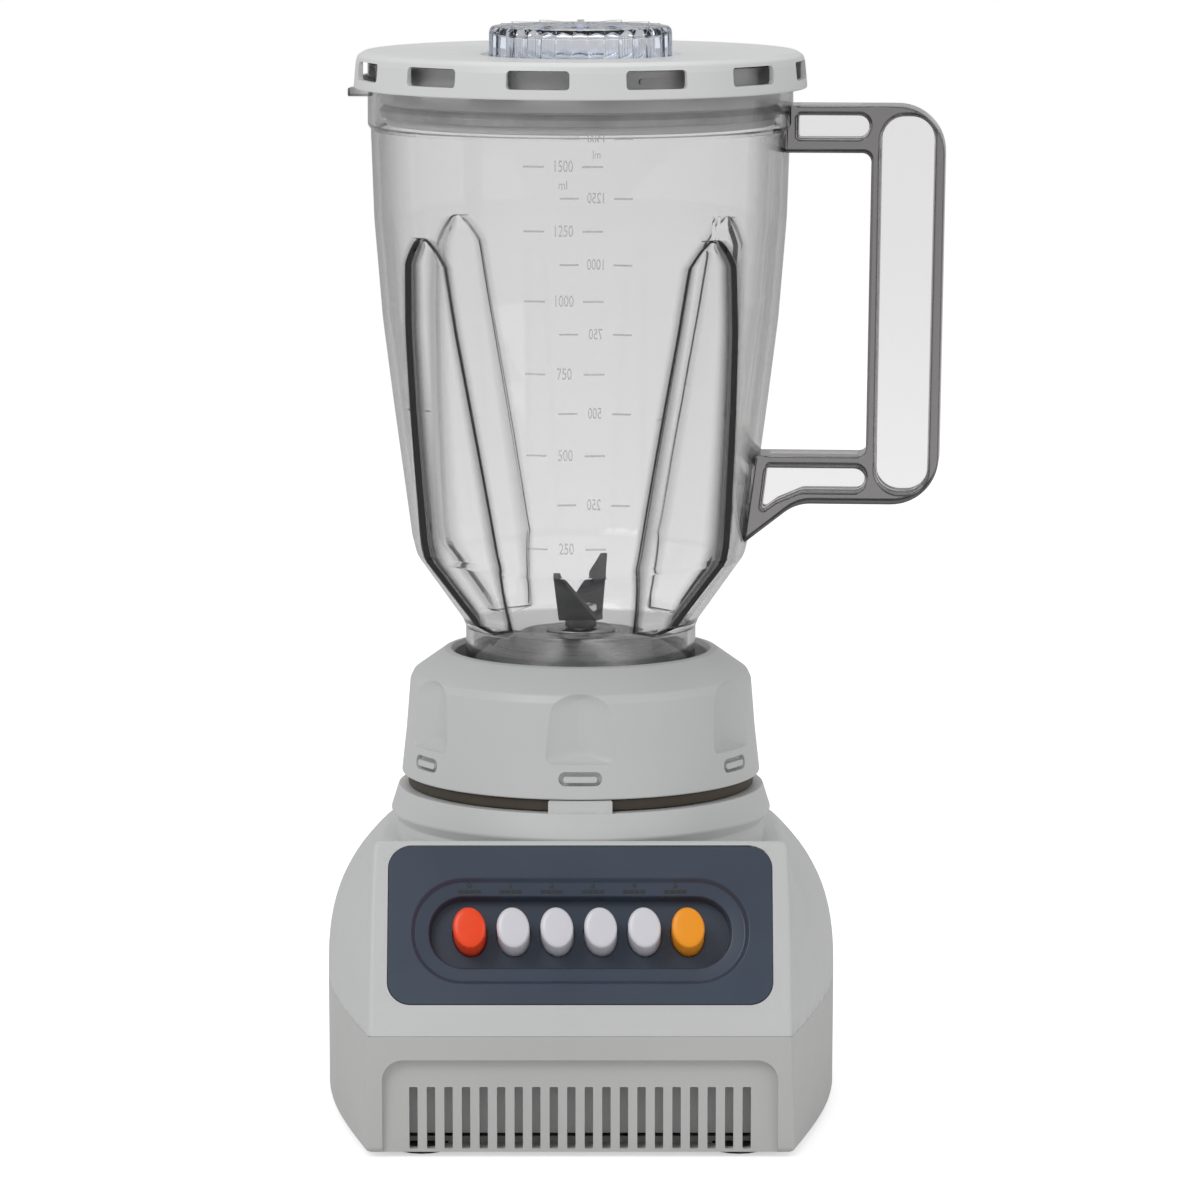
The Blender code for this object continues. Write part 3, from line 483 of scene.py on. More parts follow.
def clear_plastic(name, tint, density, roughness, shadow, edge_shade):
    """Clear plastic tinted by its thickness, with painted shade in its colour: darker where a wall is seen
    edge on, and painted dark refraction lines where the mesh attribute marks them.
    """
    n = Nodes(name)
    facing = n.add("ShaderNodeLayerWeight", {"Blend": 0.5}).outputs["Facing"]
    painted_edge_shade = n.add("ShaderNodeAttribute", attribute_name=EDGE_SHADE_ATTRIBUTE).outputs["Fac"]
    # painted shade: the colour goes towards near black where the wall is seen edge on and on the marked
    # lines, standing in for dark surroundings seen through the plastic
    edge_on_shade = n.ranged(facing, 0.0, edge_shade, 0.45, 0.98)
    darker = n.add("ShaderNodeMath", {0: edge_on_shade, 1: painted_edge_shade}, operation="MAXIMUM").outputs[0]
    stops = [(0.0, (1.0, 1.0, 1.0)), (0.5, (0.42, 0.42, 0.42)), (1.0, (0.012, 0.012, 0.012))]
    n.set(Base_Color=n.colours(darker, stops))
    flow = n.noise(24.0, 3.0, 0.5)
    scuffs = n.noise(300.0, 6.0, 0.7)
    n.set(Transmission_Weight=1.0, IOR=1.53)
    n.set(Roughness=n.ranged(scuffs, roughness, roughness + 0.03, 0.55, 0.85))
    n.set(Normal=n.bump(flow, 0.06, 0.0006))
    through = n.add("ShaderNodeBsdfTransparent", {"Color": (*shadow, 1.0)})
    path = n.add("ShaderNodeLightPath")
    mixed = n.add("ShaderNodeMixShader", {
        0: path.outputs["Is Shadow Ray"], 1: n.shader.outputs[0], 2: through.outputs[0],
    })
    n.link(mixed.outputs[0], n.output.inputs["Surface"])
    volume = n.add("ShaderNodeVolumeAbsorption", {"Color": (*tint, 1.0), "Density": density})
    n.link(volume.outputs[0], n.output.inputs["Volume"])
    return n.material


def rubber(name, colour, roughness=0.72):
    n = Nodes(name)
    dust = n.noise(70.0, 5.0, 0.65)
    n.set(Base_Color=n.colours(dust, [(0.35, colour), (0.8, shade(colour, 1.7))]))
    n.set(Roughness=n.ranged(dust, roughness - 0.08, roughness + 0.1))
    n.set(Normal=n.bump(n.noise(1800.0, 3.0, 0.6), 0.2, 0.00006))
    return n.material


def layered(name, colour, roughness, pitch, axis, metallic=1.0, depth=0.0002):
    """Sheets or wires stacked along an axis at a given pitch in metres."""
    n = Nodes(name)
    wave = n.add("ShaderNodeTexWave", {
        "Vector": n.place, "Scale": TAU / pitch / 20, "Distortion": 0.4, "Detail": 2.0, "Detail Scale": 3.0,
    }, wave_type="BANDS", bands_direction=axis)
    lines = wave.outputs["Fac"]
    n.set(Base_Color=n.colours(lines, [(0.1, shade(colour, 0.35)), (0.6, colour)]))
    n.set(Roughness=n.ranged(n.noise(80.0), roughness - 0.07, roughness + 0.1), Metallic=metallic)
    n.set(Normal=n.bump(lines, 0.6, depth))
    return n.material


def cast_metal(name, colour, roughness):
    n = Nodes(name)
    tarnish = n.noise(160.0, 5.0, 0.6)
    n.set(Base_Color=n.colours(tarnish, [(0.3, shade(colour, 0.7)), (0.75, shade(colour, 1.15))]))
    n.set(Roughness=n.ranged(tarnish, roughness - 0.08, roughness + 0.12), Metallic=1.0)
    n.set(Normal=n.bump(n.noise(1500.0, 3.0, 0.6), 0.25, 0.00004))
    return n.material


MATERIALS = {
    "housing_grey": moulded("housing_grey", (0.60, 0.61, 0.605), 0.40),
    "lower_grey": moulded("lower_grey", (0.54, 0.545, 0.535), 0.46, grain=0.16),
    "lid_grey": moulded("lid_grey", (0.73, 0.74, 0.735), 0.36),
    "panel_blue": moulded("panel_blue", (0.043, 0.060, 0.092), 0.34, grain=0.14, tone=0.14),
    "key_red": moulded("key_red", (0.97, 0.062, 0.002), 0.34, grain=0.05, coat=0.1),
    "key_white": moulded("key_white", (0.72, 0.71, 0.76), 0.30, grain=0.05, coat=0.3),
    "key_amber": moulded("key_amber", (0.97, 0.34, 0.002), 0.34, grain=0.05, coat=0.1),
    # the last number is how far the painted edge-on shade darkens the colour
    "jar_clear": clear_plastic("jar_clear", (0.50, 0.49, 0.49), 165.0, 0.0, (0.88, 0.88, 0.88), 0.75),
    "cap_clear": clear_plastic("cap_clear", (0.50, 0.62, 0.86), 26.0, 0.02, (0.90, 0.92, 0.95), 0.25),
    "brushed_steel": turned_steel("brushed_steel", (0.62, 0.62, 0.63), 0.22),
    "blade_steel": ground_steel("blade_steel", (0.115, 0.115, 0.12), 0.38),
    "lamination_steel": layered("lamination_steel", (0.36, 0.36, 0.38), 0.48, 0.0011, "Z"),
    "winding_copper": layered("winding_copper", (0.62, 0.24, 0.09), 0.36, 0.0009, "X"),
    "bronze": cast_metal("bronze", (0.52, 0.36, 0.17), 0.42),
    "carbon": rubber("carbon", (0.03, 0.03, 0.032), 0.5),
    "black_rubber": rubber("black_rubber", (0.028, 0.028, 0.028)),
    "brown_rubber": rubber("brown_rubber", (0.050, 0.040, 0.028), 0.62),
    "pale_rubber": rubber("pale_rubber", (0.40, 0.40, 0.40), 0.55),
    "black_plastic": moulded("black_plastic", (0.035, 0.035, 0.04), 0.42, tone=0.08),
    "white_plastic": moulded("white_plastic", (0.70, 0.70, 0.66), 0.45),
}
SLOT_OF = {row["node"]: row["material_slot"] for row in frame["record"]["subparts"]}
for node_name, node in frame["nodes"].items():
    node.data.materials.clear()
    node.data.materials.append(MATERIALS[SLOT_OF[node_name]])
    node.data.set_sharp_from_angle(angle=math.radians(32))


# Housing

def half_width(y):
    if y < WIDEST_Y:
        part = (y - FRONT_Y) / (WIDEST_Y - FRONT_Y)
        return FRONT_HALF + (HOUSING_HALF - FRONT_HALF) * math.sin(part * math.pi / 2)
    along = min(1.0, (y - WIDEST_Y) / (REAR_Y - WIDEST_Y))
    return REAR_HALF + (HOUSING_HALF - REAR_HALF) * math.sqrt(1 - along**2.4)


def frontness(y):
    return max(0.0, (WIDEST_Y - y) / (WIDEST_Y - FRONT_Y))


def deck_height(y):
    if y < RAMP_END_Y:
        part = (y - BROW_Y) / (RAMP_END_Y - BROW_Y)
        return BROW_Z + (DECK_Z - BROW_Z) * part
    rear_round = 6.0
    past = max(0.0, y - (REAR_Y - rear_round))
    return DECK_Z - rear_round + math.sqrt(max(0.0, rear_round**2 - past**2))


def stations(front_steps, rear_steps):
    front = [FRONT_Y + RIDGE + (WIDEST_Y - FRONT_Y - RIDGE) * i / front_steps for i in range(front_steps)]
    rear = [
        WIDEST_Y + (REAR_Y - WIDEST_Y) * math.sin(math.pi / 2 * i / rear_steps)
        for i in range(rear_steps + 1)
    ]
    return front + rear


def arch(y, shrink, foot_z, rises, corner_steps):
    """One cross section of the upper housing, leaning back near the front."""
    lean = (BROW_Y - FRONT_Y) * frontness(y)
    top = deck_height(y + lean) - shrink
    wide = half_width(y) - shrink
    shoulder = 19.8 - 18.8 * frontness(y) ** 1.6
    side = [(wide - shoulder * rise**2.75, foot_z + (top - foot_z) * rise, 0) for rise in rises]
    corner = (wide - shoulder, top, 3.5)
    mirror = [(-x, z, 0) for x, z, _ in reversed(side)]
    section = filleted([*side, corner, (-corner[0], top, 3.5), *mirror], corner_steps)
    slope = lean / (BROW_Z - SEAM_Z)
    return [Vector((x, y + slope * (z - SEAM_Z), z)) for x, z, _ in section]


def upper_shell():
    rises = [i / 15 for i in range(15)]
    rings = []
    for step in range(6, 0, -1):
        turn = math.radians(90) * step / 6
        y = FRONT_Y + RIDGE * (1 - math.sin(turn))
        rings.append(arch(y, RIDGE * (1 - math.cos(turn)), SEAM_Z, rises, 6))
    rings += [arch(y, 0, SEAM_Z, rises, 6) for y in stations(30, 14)]
    inner = [FRONT_Y + WALL, -80, -50, -8, 25, 50, 70, REAR_Y - WALL]
    hollow = loft([arch(y, WALL, SEAM_Z - 6, [0.0, 0.33, 0.57, 0.8], 2) for y in inner])
    return cut(loft(rings), hollow)


def panel_matrix():
    slope = Matrix.Rotation(math.radians(90) - PANEL_TILT, 4, "X")
    return Matrix.Translation((0, PANEL_Y, PANEL_Z)) @ slope


def panel_outline(grow=0.0, steps=10):
    low, high = PANEL_LOW - grow, PANEL_HIGH + grow
    return rectangle(PANEL_HALF + grow, (high - low) / 2, 7.5 + grow, (0, (low + high) / 2), steps)


def upper_housing():
    shape = upper_shell()
    seat = turned([
        (SEAT_WELL_R, 88.0), (62.3, 88.0), (62.3, 95.2, 1.5), (61.5, 96.7, 0.8), (64.3, 100.3, 1.4),
        (61.7, SEAT_RIM_Z, 0.5), (SEAT_WELL_R, SEAT_RIM_Z, 0.4),
    ])
    boss = turned([(9.6, 86.0), (18.0, 86.0), (16.0, 95.0, 1.0), (9.6, 95.0, 0.6)], 96)
    half, low, high = 10.5, SEAT_RIM_Z - 2.4, COLLAR_FOOT_Z - 0.25
    tab_outline = filleted([(-half, low, 0), (half, low, 0), (half, high, 0.3), (-half, high, 0.3)], 3)
    tab = around(tab_outline, -math.pi / 2, 59.0, 61.75, 61.0)
    shape = fused(shape, seat, boss, tab)
    shape = cut(shape, rod(9.6, 80.0, 99.0, 48))
    bed = prism(panel_outline(GAP), -1.7, 12.0)
    shape = cut(shape, moved(bed, panel_matrix()))
    tray_hole = prism(rectangle(57.6, 19.9, 19.8, steps=12), -20.0, 0.0)
    shape = cut(shape, moved(tray_hole, panel_matrix()))
    piece("upper_housing_shell", shape, "base", "housing_grey", ["upper_housing"], bevel=0.28)


def plan(z, shrink=0.0, front_wall=0.0, fine=True):
    """The base's outline at one height below the seam, where the front toes out and in a little."""
    below = (SEAM_Z - z) / SEAM_Z
    rows = stations(24, 18) if fine else [-80, -50, -8, 25, 50, 70, 83, REAR_Y]
    side = []
    for y in [FRONT_Y, *rows]:
        x = half_width(y) + (1.7 * frontness(y) - 0.4) * below - shrink
        depth = y * (1 - shrink / 90) + 2.0 * frontness(y) * below
        side.append((x, max(depth, FRONT_Y + front_wall), RIDGE if y == FRONT_Y and fine else 0))
    mirror = [(-x, y, radius) for x, y, radius in reversed(side)]
    return [Vector((p.x, p.y, z)) for p in filleted(side + mirror, 6)]


def slot_row(count, pitch, width, low, high, y_low, y_high, rounding):
    first = -pitch * (count - 1) / 2
    lie = Matrix.Translation((0, y_high, 0)) @ Matrix.Rotation(math.radians(90), 4, "X")
    slots = []
    for i in range(count):
        centre = (first + pitch * i, (low + high) / 2)
        outline = rectangle(width / 2, (high - low) / 2, rounding, centre, 4)
        slots.append(moved(prism(outline, 0, y_high - y_low), lie))
    return slots


SCREW_SPOTS = ((-58.0, -62.0), (58.0, -62.0), (-48.0, 56.0), (48.0, 56.0))
FOOT_SPOTS = ((-52.0, -78.0), (52.0, -78.0), (-62.0, 46.0), (62.0, 46.0))


def lower_housing():
    levels = [(1.6, 2.2), (1.75, 1.4), (2.2, 0.7), (2.9, 0.2), (3.6, 0.0)]
    top = SEAM_Z - 0.12
    levels += [(3.6 + (top - 3.6) * i / 6, 0.0) for i in range(1, 7)]
    outer = loft([plan(z, shrink) for z, shrink in levels])
    inner = loft([plan(5.0, WALL, 7.0, False), plan(SEAM_Z + 3, WALL, 7.0, False)])
    shape = cut(outer, inner)
    recess = filleted([(-64.6, -6, 0), (64.6, -6, 0), (64.6, 33.0, 7), (-64.6, 33.0, 7)], 12)
    stand = Matrix.Translation((0, -90.6, 0)) @ Matrix.Rotation(math.radians(90), 4, "X")
    shape = cut(shape, moved(prism(recess, 0, 12), stand))
    shape = cut(shape, *slot_row(20, 5.73, 2.75, 2.8, 23.4, -97.0, -82.0, 0.4))
    shape = cut(shape, *slot_row(12, 5.0, 2.4, 12.0, 32.0, 78.0, 95.0, 0.4)[5:])
    shape = cut(shape, *[box((x - 1.5, -34.0, 0.0), (x + 1.5, 34.0, 8.0)) for x in range(-28, 29, 7)])
    holes = [rod(4.2, 0.0, 4.4, 24, spot) for spot in SCREW_SPOTS]
    holes += [rod(9.6, 0.0, 3.4, 40, spot) for spot in FOOT_SPOTS]
    shape = cut(shape, *holes)
    gland = Matrix.Translation((-32.0, REAR_Y, 22.0)) @ Matrix.Rotation(math.radians(-90), 4, "X")
    shape = cut(shape, moved(rod(7.3, -20, 20), gland))
    piece("lower_housing_shell", shape, "base", "lower_grey", ["lower_housing"], bevel=0.28)


def vent_baffle():
    """The plate inside the lower housing that closes the view through the front slots."""
    plate = box((-61.0, -83.6, 6.5), (61.0, -82.4, 34.0))
    piece("vent_baffle", plate, "base", "lid_grey")


# Control panel and keys

def control_panel():
    plate = prism(panel_outline(), -1.4, 0.0)
    tray = prism(rectangle(57.2, 19.5, 19.4, steps=12), -TRAY_FLOOR, -0.7)
    shape = fused(plate, tray)
    rings = [
        (56.4, 18.9, 1.0), (55.4, 17.9, 0.0), (54.9, 17.4, -0.5), (54.1, 16.6, -1.5), (53.7, 16.2, -1.6),
        (50.0, 12.6, -1.9), (49.6, 12.2, -2.1), (49.3, 11.9, -2.6), (48.9, 11.6, -TRAY_DEPTH),
    ]
    recess = loft([rectangle(x, y, y - 0.1, steps=16, z=z) for x, y, z in rings])
    shape = cut(shape, recess)
    holes = []
    for i in range(KEY_COUNT):
        hole = loft([ellipse(KEY_HALF_X + GAP, KEY_HALF_Y + GAP, 48, z, KEY_LEAN) for z in (-12.0, -5.0)])
        holes.append(moved(hole, Matrix.Translation((KEY_FIRST_X + KEY_PITCH * i, 0, 0))))
    shape = cut(shape, *holes)
    piece("control_panel_plate", shape, "base", "panel_blue", ["control_panel"], 0.2, matrix=panel_matrix())


def key(number):
    bands = [
        (0.30, 0.0), (0.62, 0.04), (0.80, 0.14), (0.89, 0.30), (0.95, 0.55), (0.985, 0.95), (1.0, 1.5),
    ]
    levels = [(share, KEY_REACH - drop) for share, drop in bands]
    levels.append((1.0, -TRAY_FLOOR - GAP))
    rings = [ellipse(KEY_HALF_X * k, KEY_HALF_Y * k, 64, z, KEY_LEAN) for k, z in reversed(levels)]
    flange = loft([ellipse(6.4, 8.2, 32, z, KEY_LEAN) for z in (-TRAY_FLOOR - 1.5, -TRAY_FLOOR - GAP)])
    shape = fused(loft(rings), flange, rod(3.2, -21.0, -TRAY_FLOOR - 1.0, 24))
    place = panel_matrix() @ Matrix.Translation((KEY_FIRST_X + KEY_PITCH * number, 0, 0))
    piece(f"push_key_{number}", shape, f"key_{number}", KEY_SLOTS[number], [f"key_{number}"], matrix=place)


def key_marks():
    """A numeral and a short bar over each key, printed on the sloping band round the tray."""
    shapes = []
    for i in range(KEY_COUNT):
        x = -36.3 + 13.5 * i
        numeral = text_shape(str(i), 1.8, 1.3, 0.16)
        shapes.append(moved(numeral, Matrix.Translation((x, 15.55, -1.60))))
        for step in range(4):
            shapes.append(prism(rectangle(0.82, 0.55, 0.2, (x - 2.85 + 1.9 * step, 13.65), 2), -1.84, -1.70))
    piece("key_marks", joined(shapes), "base", "black_rubber", matrix=panel_matrix())


# Jar base

def grip_scoop():
    """One finger hollow, drawn facing up: its sides curve in to a soft crease down the middle."""
    levels = [(1.0, 70.0), (1.0, 58.6), (0.96, 57.7), (0.82, 56.8), (0.60, 55.9), (0.34, 55.0), (0.06, 54.2)]
    half, low, high, middle = 11.8, 124.6, 149.4, 134.0
    rings = []
    for share, depth in levels:
        wide = half * share
        foot = middle + (low - middle) * (0.55 + 0.45 * share)
        top = middle + (high - middle) * (0.70 + 0.30 * share)
        arch = 10.5 * share
        corners = [(-wide, foot, 2.5), (wide, foot, 2.5), (wide, top, arch), (-wide, top, arch)]
        rings.append([Vector((p.x, p.y, depth)) for p in filleted(corners, 12)])
    return loft(rings)


def jar_collar():
    shape = turned([
        (60.6, COLLAR_FOOT_Z, 0.6), (58.9, 128.3, 8), (57.6, 144.6, 2.2), (56.4, 147.2, 2.0),
        (46.0, 154.6, 1.6), (43.9, 155.0, 0.8), (42.6, 153.4, 0.6), (42.6, 133.6), (31.0, 133.6),
        (31.0, 130.4), (45.4, 130.4), (45.8, 148.6), (51.6, 144.6), (54.2, 124.0), (56.2, COLLAR_FOOT_Z),
    ], 240)
    scoops, slots = [], []
    for i in range(6):
        turn = math.radians(60 * i - 90)
        stand = Matrix.Rotation(math.radians(90), 4, "Z") @ Matrix.Rotation(math.radians(90), 4, "X")
        scoops.append(moved(grip_scoop(), Matrix.Rotation(turn, 4, "Z") @ stand))
        groove = prism(rectangle(7.2, 2.35, 2.3, (0, 119.9), 10), 57.6, 70.0)
        island = prism(rectangle(5.6, 0.95, 0.9, (0, 119.7), 8), 50.0, 80.0)
        slots.append(moved(cut(groove, island), Matrix.Rotation(turn, 4, "Z") @ stand))
    shape = cut(shape, *scoops)
    shape = cut(shape, *slots)
    piece("collar_shell", shape, "jar_base", "housing_grey", ["jar_collar"], bevel=0.45, segments=3)


def blade_carrier():
    shape = turned([
        (6.9, 119.0), (9.8, 119.0), (9.8, 159.1), (19.3, 159.1), (33.8, 151.2), (33.8, 133.9), (41.8, 133.9),
        (41.8, 135.4), (35.8, 135.4), (35.8, 152.4, 0.5), (20.0, 160.9, 1.2), (6.9, 160.9),
    ])
    piece("carrier_cone", shape, "jar_base", "brushed_steel", ["blade_carrier"])


def seat_gasket():
    shape = turned([
        (52.0, 101.0, 0.5), (SEAT_WELL_R - GAP, 101.0, 0.5), (SEAT_WELL_R - GAP, SEAT_RIM_Z + GAP, 0.2),
        (58.4, SEAT_RIM_Z + GAP, 0.5), (58.4, COLLAR_FOOT_Z - GAP, 0.6), (52.0, COLLAR_FOOT_Z - GAP, 0.6),
    ])
    piece("seat_gasket_ring", shape, "base", "brown_rubber", ["seat_gasket"])


def blade_unit():
    thickness = 1.6
    arm = [(5.0, BLADE_Z, -7.4, 7.4), (8.5, BLADE_Z, -5.4, 7.4), (24.0, 182.4, 6.9, 9.0)]
    rows = [(-y, z, -high, -low) for y, z, low, high in reversed(arm)] + arm
    rings = []
    for along, z, low, high in rows:
        lean = 0.6 * thickness if abs(along) > 6.0 else 0.0
        inner = along - math.copysign(lean, along)
        rings.append([
            Vector((low, along, z)), Vector((high, along, z)),
            Vector((high, inner, z + thickness)), Vector((low, inner, z + thickness)),
        ])
    shape = cut(loft(rings), rod(3.3, 150, 190))
    piece("cutting_blade", shape, "blade_unit", "blade_steel", ["blade"], bevel=0.15)
    washer = turned([
        (4.3, 161.2), (11.7, 161.2, 0.3), (11.7, 162.2, 0.3), (10.9, 162.7, 0.3), (9.9, 162.1, 0.4),
        (4.3, 162.1),
    ], 96)
    piece("washer_dish", washer, "blade_unit", "brushed_steel", ["blade_washer"])
    for name, old, low, high, bore, slot in (
        ("hub_hexagon", "blade_hub", 162.4, BLADE_Z - GAP, 4.3, "blade_steel"),
        ("nut_hexagon", "blade_nut", BLADE_Z + 1.9, 170.2, 3.3, "brushed_steel"),
    ):
        hexagon = cut(rod(5.4, low, high, 6), rod(bore, 150, 180))
        piece(name, hexagon, "blade_unit", slot, [old], bevel=0.35, segments=3)


# Jar

JAR_OUTLINE = filleted(JAR_CORNERS, 8, closed=False)


def jar_radius(z):
    """The jar's outer radius at a height, without its flutes."""
    z = min(max(z, JAR_NECK_Z), JAR_RIM_Z - 1.0)
    for low, high in zip(JAR_OUTLINE, JAR_OUTLINE[1:]):
        if low.y <= z <= high.y and high.y > low.y:
            return low.x + (high.x - low.x) * (z - low.y) / (high.y - low.y)
    return NECK_R


def flute_half_angle(z):
    if z >= FLUTE_TOP_Z or z <= FLUTE_END_Z:
        return 0.0
    if z > FLUTE_WIDE_Z:
        down = (FLUTE_TOP_Z - z) / (FLUTE_TOP_Z - FLUTE_WIDE_Z)
        return math.radians(7.5 + 13.5 * down) * min(1.0, math.sqrt(down * 12))
    return math.radians(13.0 + 8.0 * (z - FLUTE_END_Z) / (FLUTE_WIDE_Z - FLUTE_END_Z))


FLUTE_DEPTH, FLUTE_BAND = 2.1, 2.3
WALL_STEPS, FLAT_STEPS, ROUND_STEPS = 8, 6, 26


def flute_band(half, radius):
    """The width of the steep wall along a flute's side."""
    return min(FLUTE_BAND, 0.5 * half * radius)


def flute_reach(radius, half, offset, depth):
    """The radius across a flute: a steep wall down from each side to a flat."""
    flat = radius * math.cos(half) / math.cos(offset)
    down = min(1.0, (half - abs(offset)) * radius / flute_band(half, radius))
    return flat - depth * down * down * (3 - 2 * down)


def flute_offsets(half, radius):
    band = flute_band(half, radius) / radius
    falling = [-half + band * i / WALL_STEPS for i in range(WALL_STEPS)]
    flat = [(half - band) * (2 * i / FLAT_STEPS - 1) for i in range(FLAT_STEPS)]
    rising = [half - band + band * i / WALL_STEPS for i in range(WALL_STEPS)]
    return falling + flat + rising


def jar_ring(radius, z):
    """A ring whose quarter turns each hold one sunk flute and one round stretch."""
    half = flute_half_angle(z)
    narrow = max(half, math.radians(1.0))
    depth = FLUTE_DEPTH * min(1.0, half / math.radians(5.0)) * min(1.0, max(0.0, (z - FLUTE_END_Z) / 6))
    ring = []
    for quarter in range(4):
        middle = math.radians(45 + 90 * quarter)
        for offset in flute_offsets(narrow, radius):
            reach = flute_reach(radius, half, offset, depth) if half else radius
            ring.append(Vector((reach * math.cos(middle + offset), reach * math.sin(middle + offset), z)))
        rest = math.radians(90) - 2 * narrow
        for step in range(ROUND_STEPS):
            angle = middle + narrow + rest * step / ROUND_STEPS
            ring.append(Vector((radius * math.cos(angle), radius * math.sin(angle), z)))
    return ring


def fold_share(point):
    """How much painted shade a point of the jar gets: painted dark lines on the steep wall of a flute, or on
    the handle's rounded edges, the lug and ramps and the neck.
    """
    reach = math.hypot(point.x, point.y)
    if reach > jar_radius(point.z) + 0.8 and point.x > 0:
        return HANDLE_EDGE_SHADE if HANDLE_HALF - 0.68 < abs(point.y) < HANDLE_HALF - 0.02 else 0.0
    if reach > jar_radius(point.z) + 0.1 and point.x < 0:
        return LUG_SHADE
    half = flute_half_angle(point.z)
    if half == 0.0:
        return NECK_SHADE if point.z < FLUTE_END_Z else 0.0
    angle = math.atan2(point.y, point.x)
    offset = angle % math.radians(90) - math.radians(45)
    inward = (half - abs(offset)) * reach / flute_band(half, reach)
    share = max(0.0, 1 - abs(inward - 0.5) / 0.75) ** 0.6
    return share * (FRONT_FLUTE_SHADE if angle < 0 else REAR_FLUTE_SHADE)


# Strengths of the painted dark refraction lines: full on the front flutes, half on the rear ones
FRONT_FLUTE_SHADE, REAR_FLUTE_SHADE, HANDLE_EDGE_SHADE, NECK_SHADE, LUG_SHADE = 1.0, 0.5, 0.6, 0.28, 0.5


# Lays the painted shade strengths into the mesh attribute, point by point.
def mark_folds(shape, share_of):
    layer = shape.verts.layers.float.new(EDGE_SHADE_ATTRIBUTE)
    for vert in shape.verts:
        vert[layer] = share_of(vert.co)
    return shape


def jar_levels():
    arch_top = [FLUTE_TOP_Z - 9.0 * (i / 12) ** 2 for i in range(13)]
    body = [FLUTE_WIDE_Z + (288.0 - FLUTE_WIDE_Z) * i / 24 for i in range(25)]
    cone = [FLUTE_END_Z + (FLUTE_WIDE_Z - FLUTE_END_Z) * i / 12 for i in range(13)]
    shape = [p.y for p in JAR_OUTLINE]
    levels = sorted({round(z, 3) for z in (*arch_top, *body, *cone, *shape, 310.0, 320.0)})
    kept = [levels[0]]
    for z in levels[1:]:
        if z - kept[-1] > 0.05:
            kept.append(z)
    return [z for z in kept if z <= JAR_RIM_Z - 1.0]


def jar_body():
    levels = jar_levels()
    outer = [jar_ring(jar_radius(z), z) for z in levels]
    lip = []
    for step in range(9):
        turn = math.pi * step / 8
        centre_r = jar_radius(JAR_RIM_Z) - JAR_WALL / 2
        radius = centre_r + JAR_WALL / 2 * math.cos(turn)
        lip.append(jar_ring(radius, JAR_RIM_Z - 1.0 + 1.0 * math.sin(turn)))
    inner = [jar_ring(jar_radius(z) - JAR_WALL, z) for z in reversed(levels[:-1])]
    return loft(outer[:-1] + lip + inner, closed=True)


def handle_solid():
    """Flanges round a thin web: the plate outline less the finger gap and the pockets on both sides."""
    top, low = jar_radius(330.0) - 1.2, jar_radius(221.6) - 1.3
    plate = filleted([
        (top, 338.5, 0), (HANDLE_REACH, 338.5, 16), (HANDLE_REACH - 1.7, 205.6, 16), (73.0, 205.6, 14),
        (jar_radius(191.6) - 1.4, 191.6, 0), (low, 221.6, 0), (96.2, 221.6, 3), (97.5, 322.9, 3),
        (top, 322.9, 0),
    ], 14)
    pockets = [
        filleted([(72.5, 327.2, 1.2), (97.0, 327.2, 4), (97.0, 335.4, 4), (72.5, 335.4, 1.2)], 8),
        filleted([(98.9, 209.0, 8.2), (117.0, 209.0, 8.2), (118.9, 335.2, 8.2), (100.3, 335.2, 8.2)], 12),
        filleted([
            (66.0, 205.6, 2), (74.5, 209.3, 5), (96.2, 209.3, 4), (96.2, 217.6, 4), (62.5, 217.6, 1.5),
            (60.5, 201.5, 1.2),
        ], 8),
    ]
    upright = Matrix.Rotation(math.radians(90), 4, "X")
    shape = moved(prism(plate, -HANDLE_HALF, HANDLE_HALF), upright)
    hollows = []
    for outline in pockets:
        for low_y, high_y in ((WEB_HALF, HANDLE_HALF + 5), (-HANDLE_HALF - 5, -WEB_HALF)):
            hollows.append(moved(prism(outline, low_y, high_y), upright))
    return bevelled(cut(shape, *hollows), 0.7, 3)


def jar():
    lug = bevelled(box((-77.8, -4.0, 340.5), (-69.5, 4.0, 343.4)), 0.5, 2)
    ramps = []
    for turn in (30, 120, 210, 300):
        corners = [(-12.4, 348.4, 1.0), (12.4, 348.4, 1.0), (12.4, 350.6, 1.0), (-12.4, 350.6, 1.0)]
        outline = filleted(corners, 3)
        ramps.append(around(outline, math.radians(turn), 69.6, 72.6, 71.0))
    # the jar's painted dark refraction lines are laid on its flute walls, handle edges, lug, ramps and neck
    shape = mark_folds(fused(jar_body(), handle_solid(), joined([lug, *ramps])), fold_share)
    turn = Matrix.Rotation(JAR_TURN, 4, "Z")
    piece("jar_body", shape, "jar", "jar_clear", ["jar"], sharp=40, flat=True, matrix=turn)


# painted shade laid evenly on the raised graduations, darkening them
GRADUATION_SHADE = 0.30
NUMBER_HEIGHT, NUMBER_WIDTH = 3.9, 0.62
GRADUATIONS = ((1500, 322.2), (1250, 301.2), (1000, 278.3), (750, 254.3), (500, 227.2), (250, 195.8))


def wrapped(shape, height, middle, lift):
    """Flat shape in the XY plane laid onto the jar's wall at a height, its Z outwards."""
    for vert in shape.verts:
        z = height + vert.co.y
        radius = jar_radius(z) + lift + vert.co.z
        angle = middle + vert.co.x / jar_radius(height)
        vert.co = (radius * math.cos(angle), radius * math.sin(angle), z)
    return shape


